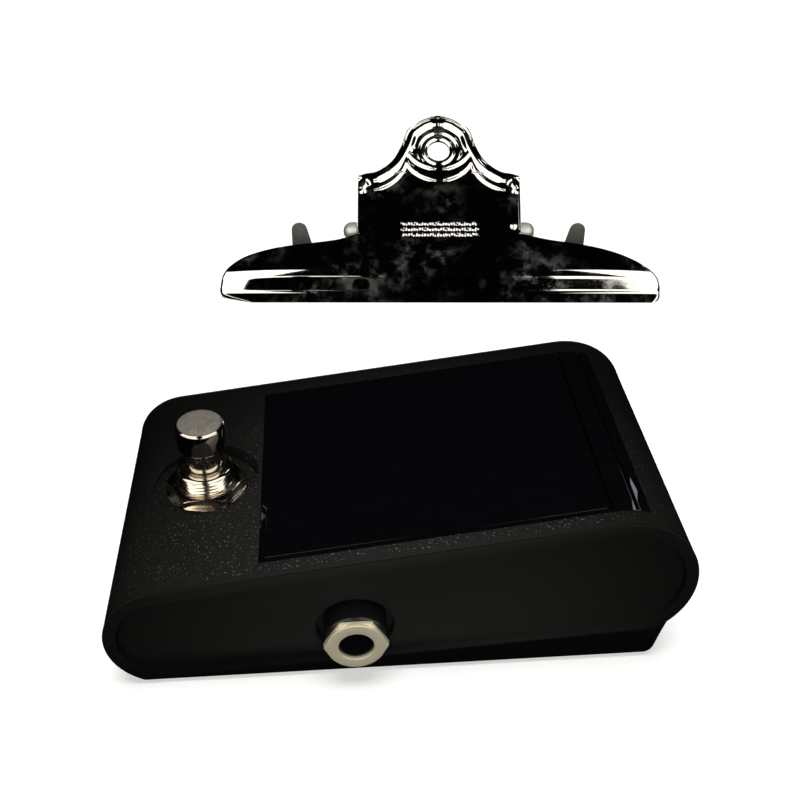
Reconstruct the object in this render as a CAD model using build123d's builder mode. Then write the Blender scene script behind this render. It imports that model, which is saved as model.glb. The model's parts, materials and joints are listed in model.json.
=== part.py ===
from build123d import *
from math import asin, atan, atan2, cos, hypot, radians, sin, sqrt, tan
import os

# A floor tuner in millimetres, +Z up, +X to its display end, with a chromed board clip lying behind it.
# The origin is the centre of the tuner's underside. The clip has a frame of its own: u along its width,
# v away from the tuner, w up.

# ---------------------------------------------------------------- driving dimensions
# Tuner body: the side profile is the hull of a small nose circle and a larger tail circle
body_length = 119.0
body_width = 67.0
nose_radius = 12.66
tail_radius = 15.55
nose_z = 12.45
tail_z = 21.25
wall = 3.0
side_wall = 4.2
lip_width = 2.6
panel_depth = 2.4
fit_gap = 0.15
moving_gap = 0.35
running_gap = 0.06

# Bottom cover and sole
sole_thickness = 1.2
sole_side_inset = 1.0
parting_height = 4.75
cover_floor = 2.0
spigot_height = 2.0
cover_setback = 0.84
tail_foot_inset = 7.1
tail_foot_top_inset = 5.6
tail_foot_top_z = 7.2
foot_radius = 2.2
sole_start_inset = 8.2
sole_end_inset = 9.3
nose_screw_setback = 2.84
tail_screw_setback = 0.95

# Display
window_gap = 12.3
window_end_inset = 10.5
window_width = 57.4
window_thickness = 1.5
window_ledge = 2.0
display_end_setback = 5.95
board_thickness = 1.6
display_board_depth = 4.5
main_board_depth = 9.0

# Footswitch
switch_inset = 19.4
well_radius = 11.4
well_floor_z = 23.7
well_plate = 2.0
bushing_flange = 1.5
bushing_radius = 6.0
bushing_top_z = 30.0
washer_thickness = 0.5
switch_nut_flats = 15.0
switch_nut_height = 2.2
stem_radius = 4.2
cap_radius = 5.15
cap_bottom_z = 35.5
cap_top_z = 41.4
cap_chamfer = 0.7
switch_travel = 3.0
switch_body_width = 17.0
switch_body_height = 13.7

# 6.35 mm jacks, one on each side
jack_x = -9.4
jack_z = 12.05
jack_bore_radius = 3.25
jack_recess_radius = 8.05
jack_recess_y = 29.5
jack_seat_wall = 1.8
jack_seat_plate = 2.0
jack_collar_radius = 6.3
jack_thread_radius = 4.6
jack_nut_flats = 11.3
jack_nut_y = 35.2
jack_nut_thickness = 2.4
jack_body_width = 16.0
jack_body_height = 13.0
jack_inner_y = 6.0

# Battery and its door
battery_width = 26.5
battery_height = 17.5
battery_length = 48.5
bay_start_x = 3.65
bay_half_width = 27.2
door_bottom_z = 0.3
door_thickness = 1.8
hinge_barrel_radius = 1.9
hinge_pin_radius = 0.8
hinge_pin_length = 1.5

# Display end: push buttons and power socket
button_radius = 2.3
button_positions_y = (-21.0, -12.0)
button_travel = 0.5
power_y = 12.0
power_z = 20.0
power_bore_radius = 2.85
power_pin_radius = 1.05

# Board clip
clip_x = 24.3
clip_y = 116.9
clip_turn = -4.0
jaw_width = 143.0
sheet = 1.0
lever_width = 54.0
lever_rise = 38.0
lever_start_v = 17.0
lever_start_w = 14.5
corner_reach = 21.6
dome_radius = 11.0
lever_reach = 45.3
hanging_hole_radius = 3.75
hanging_hole_reach = 32.3
rod_v = 24.5
rod_w = 13.4
rod_radius = 1.5
rod_cap_radius = 3.0
plate_start_v = 8.0
plate_end_v = 40.5
plate_width = 99.0
rivet_hole_radius = 2.2
rivet_spread = 30.0
stop_u = 45.4
stop_v = 27.0
stop_height = 15.2
stop_width = 8.0
stop_tip_radius = 2.6

# ---------------------------------------------------------------- shared geometry of the tuner body
nose_x = -body_length / 2 + nose_radius
tail_x = body_length / 2 - tail_radius
switch_x = switch_inset - body_length / 2
switch_top_z = well_floor_z - well_plate
window_start_x = switch_x + window_gap
window_end_x = body_length / 2 - window_end_inset
display_end_x = tail_x - display_end_setback
cover_start_x = nose_x + cover_setback
tail_foot_x = body_length / 2 - tail_foot_inset
tail_foot_top_x = body_length / 2 - tail_foot_top_inset
center_run = tail_x - nose_x
center_rise = tail_z - nose_z
center_angle = atan2(center_rise, center_run)
flare_angle = asin((tail_radius - nose_radius) / hypot(center_run, center_rise))
top_slope = center_angle + flare_angle
bottom_slope = center_angle - flare_angle
half_width = body_width / 2
cavity_half_width = half_width - side_wall
opening_end_x = body_length / 2 - 9.5
cover_bottom_z = sole_thickness
pocket_floor_z = cover_bottom_z + cover_floor
far = 2 * body_length


def top_z(x):
    """Height of the sloped top over x."""
    return nose_z + nose_radius / cos(top_slope) + (x - nose_x) * tan(top_slope)


def parting_z(x):
    """Height of the parting between housing and cover over x."""
    return parting_height + x * tan(bottom_slope)


def tail_reach(z, inset):
    """X of the tail's round end at height z, with the profile moved in by inset."""
    return tail_x + sqrt((tail_radius - inset) ** 2 - (z - tail_z) ** 2)


def side_profile(inset):
    """Side outline of the body, moved in by inset."""
    with BuildSketch(Plane.XZ) as profile:
        with Locations((nose_x, nose_z)):
            Circle(nose_radius - inset)
        with Locations((tail_x, tail_z)):
            Circle(tail_radius - inset)
        make_hull()
    return profile.sketch_local


def polygon_profile(*corners):
    """Side outline through the given corners."""
    with BuildSketch(Plane.XZ) as profile:
        with BuildLine():
            Polyline(*corners, close=True)
        make_face()
    return profile.sketch_local


def band_profile(outer_inset, inner_inset, start_x, end_x):
    """Side outline of a layer that follows the top between two insets and two x values."""
    with BuildSketch(Plane.XZ) as profile:
        add(side_profile(outer_inset))
        add(side_profile(inner_inset), mode=Mode.SUBTRACT)
        add(
            polygon_profile((start_x, nose_z), (end_x, tail_z), (end_x, far), (start_x, far)),
            mode=Mode.INTERSECT,
        )
    return profile.sketch_local


below_parting = polygon_profile(
    (cover_start_x, cover_bottom_z - far),
    (cover_start_x, parting_z(cover_start_x)),
    (body_length, parting_z(body_length)),
    (body_length, cover_bottom_z - far),
)
below_cover = polygon_profile(
    (-body_length, cover_bottom_z),
    (-body_length, -far),
    (body_length, -far),
    (body_length, cover_bottom_z),
)

# A plane on the sloped top over x = 0, with its own x up the slope
top_plane = Plane(
    origin=(0, 0, top_z(0)),
    x_dir=(cos(top_slope), 0, sin(top_slope)),
    z_dir=(-sin(top_slope), 0, cos(top_slope)),
)


def along_slope(x):
    """Distance up the top plane to the point over x."""
    return x / cos(top_slope)


nose_screw_x = nose_x + nose_screw_setback
tail_screw_x = tail_x - tail_screw_setback
screw_y = 24.0
screw_positions = [(x, y) for x in (nose_screw_x, tail_screw_x) for y in (-screw_y, screw_y)]
screw_radius = 1.5
screw_head_radius = 2.75
screw_head_height = 1.3
screw_seat_z = cover_bottom_z + 0.1 + screw_head_height
screw_length = 12.0
boss_radius = 3.2

# ---------------------------------------------------------------- upper housing
# Boss that carries the floor of the footswitch well, trimmed to stay inside the skin
with BuildPart() as well_boss:
    with BuildSketch(Plane.XY.offset(well_floor_z - well_plate)):
        with Locations((switch_x, 0)):
            Circle(well_radius + 2.0)
    extrude(amount=8.0)
    with BuildSketch(Plane.XZ):
        add(side_profile(1.0))
    extrude(amount=half_width, both=True, mode=Mode.INTERSECT)

# Shallow slanted recess of the near side face: nothing at the top, deepest at the bottom
body_top_z = tail_z + tail_radius
panel_tilt = atan(panel_depth / body_top_z)
panel_plane = Plane(
    origin=(0, -half_width, body_top_z),
    x_dir=(1, 0, 0),
    z_dir=(0, -cos(panel_tilt), -sin(panel_tilt)),
)
with BuildPart() as panel_recess:
    with BuildSketch(Plane.XZ.offset(cavity_half_width)):
        add(side_profile(lip_width))
    extrude(amount=side_wall + 1.0)
    split(bisect_by=panel_plane, keep=Keep.TOP)

with BuildSketch(Plane.XZ) as housing_outline:
    add(side_profile(0))
    add(below_parting, mode=Mode.SUBTRACT)
    add(below_cover, mode=Mode.SUBTRACT)
housing_profile = housing_outline.sketch_local

with BuildPart() as upper_housing:
    with BuildSketch(Plane.XZ):
        add(housing_profile)
    extrude(amount=half_width, both=True)
    # Inside, open at the bottom
    with BuildSketch(Plane.XZ):
        add(side_profile(wall))
        add(
            polygon_profile(
                (-opening_end_x, -far),
                (opening_end_x, -far),
                (opening_end_x, tail_z),
                (-opening_end_x, nose_z),
            )
        )
    extrude(amount=cavity_half_width, both=True, mode=Mode.SUBTRACT)
    # Side recesses
    add(panel_recess.part, mode=Mode.SUBTRACT)
    add(panel_recess.part.mirror(Plane.XZ), mode=Mode.SUBTRACT)
    # Footswitch well and its hole
    add(well_boss.part)
    with BuildSketch(Plane.XY.offset(well_floor_z)):
        with Locations((switch_x, 0)):
            Circle(well_radius)
    extrude(amount=far, mode=Mode.SUBTRACT)
    with BuildSketch(Plane.XY.offset(nose_z)):
        with Locations((switch_x, 0)):
            Circle(bushing_radius + fit_gap)
    extrude(amount=far, mode=Mode.SUBTRACT)
    # Room for the switch body and its flange under the well
    with BuildSketch(Plane.XY.offset(switch_top_z)):
        with Locations((switch_x, 0)):
            Rectangle(switch_body_width + 2 * fit_gap, switch_body_width + 2 * fit_gap)
    extrude(amount=-switch_body_height - bushing_flange, mode=Mode.SUBTRACT)
    # Display window rebate, and the opening inside its ledge
    with BuildSketch(Plane.XZ):
        add(
            band_profile(
                -1.0,
                window_thickness + fit_gap,
                window_start_x - fit_gap,
                window_end_x + fit_gap,
            )
        )
    extrude(amount=window_width / 2 + fit_gap, both=True, mode=Mode.SUBTRACT)
    with BuildSketch(Plane.XZ):
        add(band_profile(-1.0, wall + 1.0, window_start_x + window_ledge, display_end_x))
    extrude(amount=window_width / 2 - window_ledge, both=True, mode=Mode.SUBTRACT)
    # Jack seats on both sides
    for side in (-1, 1):
        with BuildSketch(Plane.XZ.offset(-side * (jack_recess_y - jack_seat_plate))):
            with Locations((jack_x, jack_z)):
                Circle(jack_recess_radius + jack_seat_wall)
            add(below_parting, mode=Mode.SUBTRACT)
        extrude(amount=-side * jack_seat_plate)
        with BuildSketch(Plane.XZ.offset(-side * jack_recess_y)):
            with Locations((jack_x, jack_z)):
                Circle(jack_recess_radius)
        extrude(amount=-side * far, mode=Mode.SUBTRACT)
        with BuildSketch(Plane.XZ.offset(-side * (jack_recess_y - jack_seat_plate - 1.0))):
            with Locations((jack_x, jack_z)):
                Circle(jack_collar_radius + fit_gap)
        extrude(amount=-side * far, mode=Mode.SUBTRACT)
    # Screw bosses
    for x, y in screw_positions:
        boss_bottom = parting_z(x + boss_radius) + spigot_height + fit_gap
        boss_top = top_z(x) - 0.8 * wall
        with BuildSketch(Plane.XY.offset(boss_bottom)):
            with Locations((x, y)):
                Circle(boss_radius)
                Circle(screw_radius + 0.02, mode=Mode.SUBTRACT)
        extrude(amount=boss_top - boss_bottom)
    # Rails that the boards slide on
    for depth in (display_board_depth, main_board_depth):
        for x in (8.0, 30.0):
            for side in (-1, 1):
                rail_plane = top_plane.offset(-depth - board_thickness - 0.05)
                with BuildSketch(rail_plane):
                    with Locations((along_slope(x), side * (cavity_half_width - 0.6))):
                        Rectangle(5.0, 1.4)
                extrude(amount=-1.2)
    # Button holes and power socket hole through the tail
    with BuildSketch(Plane.YZ.offset(tail_x + 5.0)):
        with Locations(*[(y, tail_z) for y in button_positions_y]):
            Circle(button_radius + running_gap)
        with Locations((power_y, power_z)):
            Circle(power_bore_radius + 1.3)
    extrude(amount=far, mode=Mode.SUBTRACT)
upper_housing.part.label = "upper_housing"

# ---------------------------------------------------------------- bottom cover
battery_start_x = bay_start_x + moving_gap
hinge_x = battery_start_x + battery_width + hinge_barrel_radius + 0.4
hinge_z = door_bottom_z + hinge_barrel_radius
bay_end_x = hinge_x + hinge_barrel_radius + moving_gap
bay_center_x = (bay_start_x + bay_end_x) / 2
bay_length = bay_end_x - bay_start_x
bay_wall = 1.6
bay_top_z = 12.0
spigot_half_width = cavity_half_width - fit_gap
spigot_end_x = opening_end_x - fit_gap
foot_join_z = 10.0

with BuildPart() as bottom_cover:
    with BuildSketch(Plane.XZ) as cover_outline:
        with BuildLine():
            Polyline(
                (cover_start_x, cover_bottom_z),
                (tail_foot_x, cover_bottom_z),
                (tail_foot_top_x, tail_foot_top_z),
                (tail_reach(foot_join_z, 0), foot_join_z),
                (tail_x, tail_z),
                (cover_start_x, nose_z),
                close=True,
            )
        make_face()
        add(side_profile(0), mode=Mode.SUBTRACT)
        add(side_profile(0))
        add(below_cover, mode=Mode.SUBTRACT)
        with BuildLine():
            Polyline(
                (cover_start_x + fit_gap, -far),
                (cover_start_x + fit_gap, parting_z(cover_start_x)),
                (-far, parting_z(cover_start_x)),
                (-far, -far),
                close=True,
            )
        make_face(mode=Mode.SUBTRACT)
        # All of the body above the parting belongs to the housing
        add(housing_profile, mode=Mode.SUBTRACT)
        fillet(cover_outline.vertices().sort_by(lambda corner: corner.Y - corner.X)[0], foot_radius)
    extrude(amount=half_width, both=True)
    # Raised spigot that centres the cover in the housing
    with BuildSketch(Plane.XZ):
        add(
            polygon_profile(
                (-spigot_end_x, cover_bottom_z),
                (spigot_end_x, cover_bottom_z),
                (spigot_end_x, parting_z(spigot_end_x) + spigot_height),
                (-spigot_end_x, parting_z(-spigot_end_x) + spigot_height),
            )
        )
    extrude(amount=spigot_half_width, both=True)
    # Hollow behind the floor
    with BuildSketch(Plane.XY.offset(pocket_floor_z)):
        Rectangle(2 * (spigot_end_x - 3.0), 2 * (spigot_half_width - 1.2))
    extrude(amount=far, mode=Mode.SUBTRACT)
    # Notches that clear the jacks and their seats
    for side in (-1, 1):
        with BuildSketch(Plane.XZ.offset(-side * (jack_recess_y - jack_seat_plate - 1.0))):
            with Locations((jack_x, jack_z)):
                Circle(jack_recess_radius + jack_seat_wall + fit_gap)
            add(below_parting, mode=Mode.SUBTRACT)
        extrude(amount=-side * far, mode=Mode.SUBTRACT)
        with BuildSketch(Plane.XZ.offset(-side * jack_recess_y)):
            with Locations((jack_x, jack_z)):
                Circle(jack_recess_radius)
        extrude(amount=-side * far, mode=Mode.SUBTRACT)
    # Screw columns
    for x, y in screw_positions:
        with BuildSketch(Plane.XY.offset(cover_bottom_z)):
            with Locations((x, y)):
                Circle(boss_radius)
        extrude(amount=parting_z(x) + spigot_height - cover_bottom_z)
    with BuildSketch(Plane.XY.offset(cover_bottom_z)):
        with Locations(*screw_positions):
            Circle(screw_head_radius + fit_gap)
    extrude(amount=screw_seat_z - cover_bottom_z, mode=Mode.SUBTRACT)
    with BuildSketch(Plane.XY):
        with Locations(*screw_positions):
            Circle(screw_radius + fit_gap)
    extrude(amount=far, mode=Mode.SUBTRACT)
    # Battery bay walls, its opening and the hinge sockets
    with BuildSketch(Plane.XY.offset(cover_bottom_z)):
        with Locations((bay_center_x, 0)):
            Rectangle(bay_length + 2 * bay_wall, 2 * (bay_half_width + bay_wall))
    extrude(amount=bay_top_z - cover_bottom_z)
    with BuildSketch(Plane.XY):
        with Locations((bay_center_x, 0)):
            Rectangle(bay_length, 2 * bay_half_width)
    extrude(amount=far, mode=Mode.SUBTRACT)
    with BuildSketch(Plane.XZ):
        with Locations((hinge_x, hinge_z)):
            Circle(hinge_pin_radius + running_gap)
    extrude(amount=bay_half_width + hinge_pin_length + moving_gap, both=True, mode=Mode.SUBTRACT)
bottom_cover.part.label = "bottom_cover"

# ---------------------------------------------------------------- rubber sole and cover screws
sole_start_x = sole_start_inset - body_length / 2
sole_end_x = body_length / 2 - sole_end_inset
with BuildPart() as rubber_sole:
    with BuildSketch(Plane.XY):
        with Locations(((sole_start_x + sole_end_x) / 2, 0)):
            RectangleRounded(sole_end_x - sole_start_x, body_width - 2 * sole_side_inset, 3.0)
        with Locations((bay_center_x, 0)):
            Rectangle(bay_length, 2 * bay_half_width, mode=Mode.SUBTRACT)
        with Locations(*screw_positions):
            Circle(boss_radius, mode=Mode.SUBTRACT)
    extrude(amount=sole_thickness)
rubber_sole.part.label = "rubber_sole"

with BuildPart() as cover_screws:
    with BuildSketch(Plane.XY.offset(screw_seat_z - screw_head_height)):
        with Locations(*screw_positions):
            Circle(screw_head_radius)
    extrude(amount=screw_head_height)
    with BuildSketch(Plane.XY.offset(screw_seat_z)):
        with Locations(*screw_positions):
            Circle(screw_radius)
    extrude(amount=screw_length)
    # Cross recess
    with BuildSketch(Plane.XY.offset(screw_seat_z - screw_head_height)):
        with Locations(*screw_positions):
            Rectangle(2.6, 0.6)
            Rectangle(0.6, 2.6)
    extrude(amount=0.8, mode=Mode.SUBTRACT)
cover_screws.part.label = "cover_screws"

# ---------------------------------------------------------------- battery, snap, leads, foam and door
battery_z = door_bottom_z + door_thickness + 0.5
battery_x = battery_start_x + battery_width / 2
battery_start_y = -bay_half_width + 0.3
terminal_height = 2.1
case_length = battery_length - terminal_height
snap_y = battery_start_y + battery_length + 0.05
snap_thickness = 3.5
snap_top_z = battery_z + battery_height - 1.5

with BuildPart() as battery:
    with BuildSketch(Plane.XZ.offset(-battery_start_y)):
        with Locations((battery_x, battery_z + battery_height / 2)):
            RectangleRounded(battery_width, battery_height, 2.0)
    extrude(amount=-case_length)
    with BuildSketch(Plane.XZ.offset(-battery_start_y - case_length)):
        with Locations(
            (battery_x - 6.4, battery_z + battery_height / 2),
            (battery_x + 6.4, battery_z + battery_height / 2),
        ):
            Circle(2.9)
    extrude(amount=-terminal_height)
battery.part.label = "battery"

with BuildPart() as battery_snap:
    with BuildSketch(Plane.XZ.offset(-snap_y)):
        with Locations((battery_x, battery_z + battery_height / 2)):
            RectangleRounded(battery_width - 2.0, 2 * (snap_top_z - battery_z) - battery_height, 3.0)
    extrude(amount=-snap_thickness)
battery_snap.part.label = "battery_snap"

main_board_start_x = 1.5
main_board_length = (tail_screw_x - boss_radius - 2.2 - main_board_start_x) / cos(top_slope)
board_half_width = cavity_half_width - 0.4


def main_board_bottom_z(x):
    """Height of the main board's underside over x."""
    return top_z(x) - (main_board_depth + board_thickness) / cos(top_slope)


lead_radius = 0.6
lead_positions = {"battery_lead_red": battery_x - 4.0, "battery_lead_black": battery_x + 4.0}
lead_parts = {}
for lead_name, lead_x in lead_positions.items():
    with BuildPart() as lead:
        with BuildSketch(Plane.XY.offset(snap_top_z)):
            with Locations((lead_x, snap_y + snap_thickness / 2)):
                Circle(lead_radius)
        extrude(amount=main_board_bottom_z(lead_x) - snap_top_z - 0.1)
    lead.part.label = lead_name
    lead_parts[lead_name] = lead.part

with BuildPart() as battery_foam:
    foam_start_x = battery_start_x + battery_width + 0.1
    with BuildSketch(Plane.XY.offset(door_bottom_z + 2 * hinge_barrel_radius + 0.9)):
        with Locations(((foam_start_x + bay_end_x) / 2, -3.0)):
            Rectangle(bay_end_x - foam_start_x - 0.05, 34.0)
    extrude(amount=10.0)
battery_foam.part.label = "battery_foam"

with BuildPart() as battery_door:
    door_half_width = bay_half_width - moving_gap
    door_start_x = bay_start_x + moving_gap
    with BuildSketch(Plane.XZ):
        add(
            polygon_profile(
                (door_start_x, door_bottom_z),
                (hinge_x, door_bottom_z),
                (hinge_x, door_bottom_z + door_thickness),
                (door_start_x, door_bottom_z + door_thickness),
            )
        )
        with Locations((hinge_x, hinge_z)):
            Circle(hinge_barrel_radius)
    extrude(amount=door_half_width, both=True)
    with BuildSketch(Plane.XZ):
        with Locations((hinge_x, hinge_z)):
            Circle(hinge_pin_radius)
    extrude(amount=bay_half_width + hinge_pin_length, both=True)
    # Finger notch and grip grooves
    with BuildSketch(Plane.XY):
        with Locations((door_start_x, 0)):
            Circle(5.0)
    extrude(amount=door_bottom_z + 0.8, mode=Mode.SUBTRACT)
    with BuildSketch(Plane.XY):
        with Locations(*[(door_start_x + 8.0 + 2.0 * row, 0) for row in range(4)]):
            Rectangle(0.8, 16.0)
    extrude(amount=door_bottom_z + 0.5, mode=Mode.SUBTRACT)
battery_door.part.label = "battery_door"

# ---------------------------------------------------------------- display
window_half_width = window_width / 2
mask_flange_depth = wall + 0.1
window_bottom = window_thickness + fit_gap
mask_start_x = window_start_x + window_ledge + fit_gap
mask_end_x = display_end_x - fit_gap
meter_count = 21
meter_pitch = 2.3
meter_x = 22.0
note_x = -8.0

with BuildPart() as display_window:
    with BuildSketch(Plane.XZ):
        add(band_profile(0.05, window_thickness, window_start_x, window_end_x))
    extrude(amount=window_half_width, both=True)
display_window.part.label = "display_window"


def mask_windows():
    """The meter slots across the display and the large note window."""
    with BuildSketch() as holes:
        for index in range(meter_count):
            slot_y = (index - (meter_count - 1) / 2) * meter_pitch
            with Locations((along_slope(meter_x), slot_y)):
                Rectangle(6.0, 1.5)
        with Locations((along_slope(note_x), 0)):
            Rectangle(20.0, 16.0)
    return holes.sketch_local


with BuildPart() as display_mask:
    with BuildSketch(top_plane.offset(-window_bottom - 0.1)):
        with Locations((along_slope((mask_start_x + mask_end_x) / 2), 0)):
            Rectangle(
                along_slope(mask_end_x - mask_start_x) - 1.0,
                2 * (window_half_width - window_ledge - fit_gap),
            )
        add(mask_windows(), mode=Mode.SUBTRACT)
    extrude(amount=-(display_board_depth - window_bottom - 0.2))
    with BuildSketch(top_plane.offset(-mask_flange_depth)):
        with Locations((along_slope((mask_start_x + mask_end_x) / 2), 0)):
            Rectangle(along_slope(mask_end_x - mask_start_x) - 1.0, 2 * board_half_width)
        add(mask_windows(), mode=Mode.SUBTRACT)
    extrude(amount=-(display_board_depth - mask_flange_depth - 0.1))
display_mask.part.label = "display_mask"

with BuildPart() as display_board:
    with BuildSketch(top_plane.offset(-display_board_depth)):
        with Locations((along_slope((mask_start_x + mask_end_x) / 2), 0)):
            Rectangle(along_slope(mask_end_x - mask_start_x) - 1.0, 2 * board_half_width)
    extrude(amount=-board_thickness)
display_board.part.label = "display_board"

with BuildPart() as display_leds:
    with BuildSketch(top_plane.offset(-display_board_depth)):
        for index in range(meter_count):
            slot_y = (index - (meter_count - 1) / 2) * meter_pitch
            with Locations((along_slope(meter_x), slot_y)):
                Rectangle(3.2, 1.0)
        with Locations((along_slope(note_x), 0)):
            with GridLocations(5.0, 5.0, 3, 3):
                Rectangle(2.0, 2.0)
    extrude(amount=1.0)
display_leds.part.label = "display_leds"

# ---------------------------------------------------------------- boards inside
main_board_center = along_slope(main_board_start_x) + main_board_length / 2
with BuildPart() as main_board:
    with BuildSketch(top_plane.offset(-main_board_depth)):
        with Locations((main_board_center, 0)):
            Rectangle(main_board_length, 2 * board_half_width)
    extrude(amount=-board_thickness)
main_board.part.label = "main_board"

with BuildPart() as main_board_chips:
    with BuildSketch(top_plane.offset(-main_board_depth)):
        with Locations((main_board_center - 6.0, -8.0)):
            Rectangle(9.0, 9.0)
        with Locations((main_board_center + 8.0, -12.0)):
            Rectangle(5.0, 4.0)
        with Locations((main_board_center + 8.0, 2.0)):
            Rectangle(4.0, 5.0)
    extrude(amount=1.2)
main_board_chips.part.label = "main_board_chips"

with BuildPart() as board_header:
    with BuildSketch(top_plane.offset(-main_board_depth)):
        with Locations((main_board_center - 2.0, 16.0)):
            Rectangle(20.0, 2.5)
    extrude(amount=main_board_depth - display_board_depth - board_thickness)
board_header.part.label = "board_header"

# ---------------------------------------------------------------- footswitch
switch_flange_z = switch_top_z - bushing_flange
switch_bottom_z = switch_flange_z - switch_body_height
switch_floor_z = switch_bottom_z + 2.0
stem_collar_radius = 4.9
stem_collar_height = 1.8
stem_collar_z = switch_flange_z - 0.1 - stem_collar_height
stem_bottom_z = stem_collar_z - 2.4

with BuildPart() as footswitch_body:
    with BuildSketch(Plane.XY.offset(switch_bottom_z)):
        with Locations((switch_x, 0)):
            RectangleRounded(switch_body_width, switch_body_width, 1.0)
    extrude(amount=switch_body_height)
    with BuildSketch(Plane.XY.offset(switch_floor_z)):
        with Locations((switch_x, 0)):
            Circle(stem_collar_radius + 0.4)
    extrude(amount=far, mode=Mode.SUBTRACT)
footswitch_body.part.label = "footswitch_body"

with BuildPart() as footswitch_terminals:
    with BuildSketch(Plane.XY.offset(switch_bottom_z)):
        with Locations((switch_x, 0)):
            with GridLocations(5.0, 5.0, 3, 3):
                Rectangle(2.2, 0.5)
    extrude(amount=-1.4)
footswitch_terminals.part.label = "footswitch_terminals"

with BuildPart() as footswitch_bushing:
    with BuildSketch(Plane.XY.offset(switch_flange_z)):
        with Locations((switch_x, 0)):
            RectangleRounded(switch_body_width - 1.0, switch_body_width - 1.0, 1.0)
    extrude(amount=bushing_flange)
    with BuildSketch(Plane.XY.offset(switch_top_z)):
        with Locations((switch_x, 0)):
            Circle(bushing_radius)
    extrude(amount=bushing_top_z - switch_top_z)
    fillet(footswitch_bushing.edges().sort_by(Axis.Z)[-1], 0.7)
    with BuildSketch(Plane.XY.offset(switch_flange_z)):
        with Locations((switch_x, 0)):
            Circle(stem_radius + running_gap)
    extrude(amount=far, mode=Mode.SUBTRACT)
footswitch_bushing.part.label = "footswitch_bushing"

with BuildPart() as footswitch_washer:
    with BuildSketch(Plane.XY.offset(well_floor_z)):
        with Locations((switch_x, 0)):
            Circle(switch_nut_flats / 2 + 1.3)
            Circle(bushing_radius + 0.05, mode=Mode.SUBTRACT)
    extrude(amount=washer_thickness)
footswitch_washer.part.label = "footswitch_washer"

with BuildPart() as footswitch_nut:
    nut_bottom_z = well_floor_z + washer_thickness
    with BuildSketch(Plane.XY.offset(nut_bottom_z)):
        with Locations((switch_x, 0)):
            RegularPolygon(switch_nut_flats / 2, 6, major_radius=False)
    extrude(amount=switch_nut_height)
    # The corners are turned down to a round, on a shallow cone
    with BuildSketch(Plane.XY.offset(nut_bottom_z)):
        with Locations((switch_x, 0)):
            Circle(switch_nut_flats / sqrt(3))
    extrude(amount=switch_nut_height, mode=Mode.INTERSECT)
    with BuildSketch(Plane.XY.offset(nut_bottom_z)):
        with Locations((switch_x, 0)):
            Circle(bushing_radius + 0.03)
    extrude(amount=far, mode=Mode.SUBTRACT)
footswitch_nut.part.label = "footswitch_nut"

with BuildPart() as footswitch_spring:
    coil_wire = 0.35
    coil_height = stem_bottom_z - switch_floor_z - 2 * coil_wire - 0.1
    with BuildLine() as coil:
        Helix(
            pitch=coil_height / 4,
            height=coil_height,
            radius=3.0,
            center=(switch_x, 0, switch_floor_z + coil_wire + 0.05),
        )
    with BuildSketch(Plane(origin=coil.line @ 0, z_dir=coil.line % 0)):
        Circle(coil_wire)
    sweep()
footswitch_spring.part.label = "footswitch_spring"

with BuildPart() as footswitch_plunger:
    with BuildSketch(Plane.XY.offset(stem_bottom_z)):
        with Locations((switch_x, 0)):
            Circle(stem_radius)
    extrude(amount=cap_bottom_z - stem_bottom_z)
    with BuildSketch(Plane.XY.offset(stem_collar_z)):
        with Locations((switch_x, 0)):
            Circle(stem_collar_radius)
    extrude(amount=stem_collar_height)
    with BuildSketch(Plane.XY.offset(cap_bottom_z)):
        with Locations((switch_x, 0)):
            Circle(cap_radius)
    extrude(amount=cap_top_z - cap_bottom_z)
    chamfer(footswitch_plunger.edges().sort_by(Axis.Z)[-1], cap_chamfer)
footswitch_plunger.part.label = "footswitch_plunger"

# ---------------------------------------------------------------- 6.35 mm jacks
jack_bushing_y = jack_nut_y + jack_nut_thickness - 0.8
jack_body_y = jack_recess_y - jack_seat_plate - 0.1
jack_floor = 1.0


def jack_body(side):
    """Moulded socket body with its round collar and threaded nose, on the side -1 (near) or 1 (far)."""
    with BuildPart() as body:
        with BuildSketch(Plane.XZ.offset(-side * jack_inner_y)):
            with Locations((jack_x, jack_z)):
                RectangleRounded(jack_body_width, jack_body_height, 1.0)
        extrude(amount=-side * (jack_body_y - jack_inner_y))
        with BuildSketch(Plane.XZ.offset(-side * jack_body_y)):
            with Locations((jack_x, jack_z)):
                Circle(jack_collar_radius)
        extrude(amount=-side * (jack_nut_y - jack_body_y))
        with BuildSketch(Plane.XZ.offset(-side * jack_nut_y)):
            with Locations((jack_x, jack_z)):
                Circle(jack_thread_radius)
        extrude(amount=-side * (jack_bushing_y - jack_nut_y))
        with BuildSketch(Plane.XZ.offset(-side * (jack_inner_y + jack_floor))):
            with Locations((jack_x, jack_z)):
                Circle(jack_bore_radius)
        extrude(amount=-side * far, mode=Mode.SUBTRACT)
    return body.part


def jack_nut(side):
    """Hex nut with a closed face round the socket hole, corners to the front and back."""
    with BuildPart() as nut:
        with BuildSketch(Plane.XZ.offset(-side * jack_nut_y)):
            with Locations((jack_x, jack_z)):
                RegularPolygon(jack_nut_flats / 2, 6, major_radius=False)
        extrude(amount=-side * jack_nut_thickness)
        with BuildSketch(Plane.XZ.offset(-side * jack_nut_y)):
            with Locations((jack_x, jack_z)):
                Circle(jack_thread_radius + 0.03)
        extrude(amount=-side * (jack_bushing_y - jack_nut_y + 0.02), mode=Mode.SUBTRACT)
        with BuildSketch(Plane.XZ.offset(-side * jack_nut_y)):
            with Locations((jack_x, jack_z)):
                Circle(jack_bore_radius + 0.15)
        extrude(amount=-side * far, mode=Mode.SUBTRACT)
    return nut.part


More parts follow.
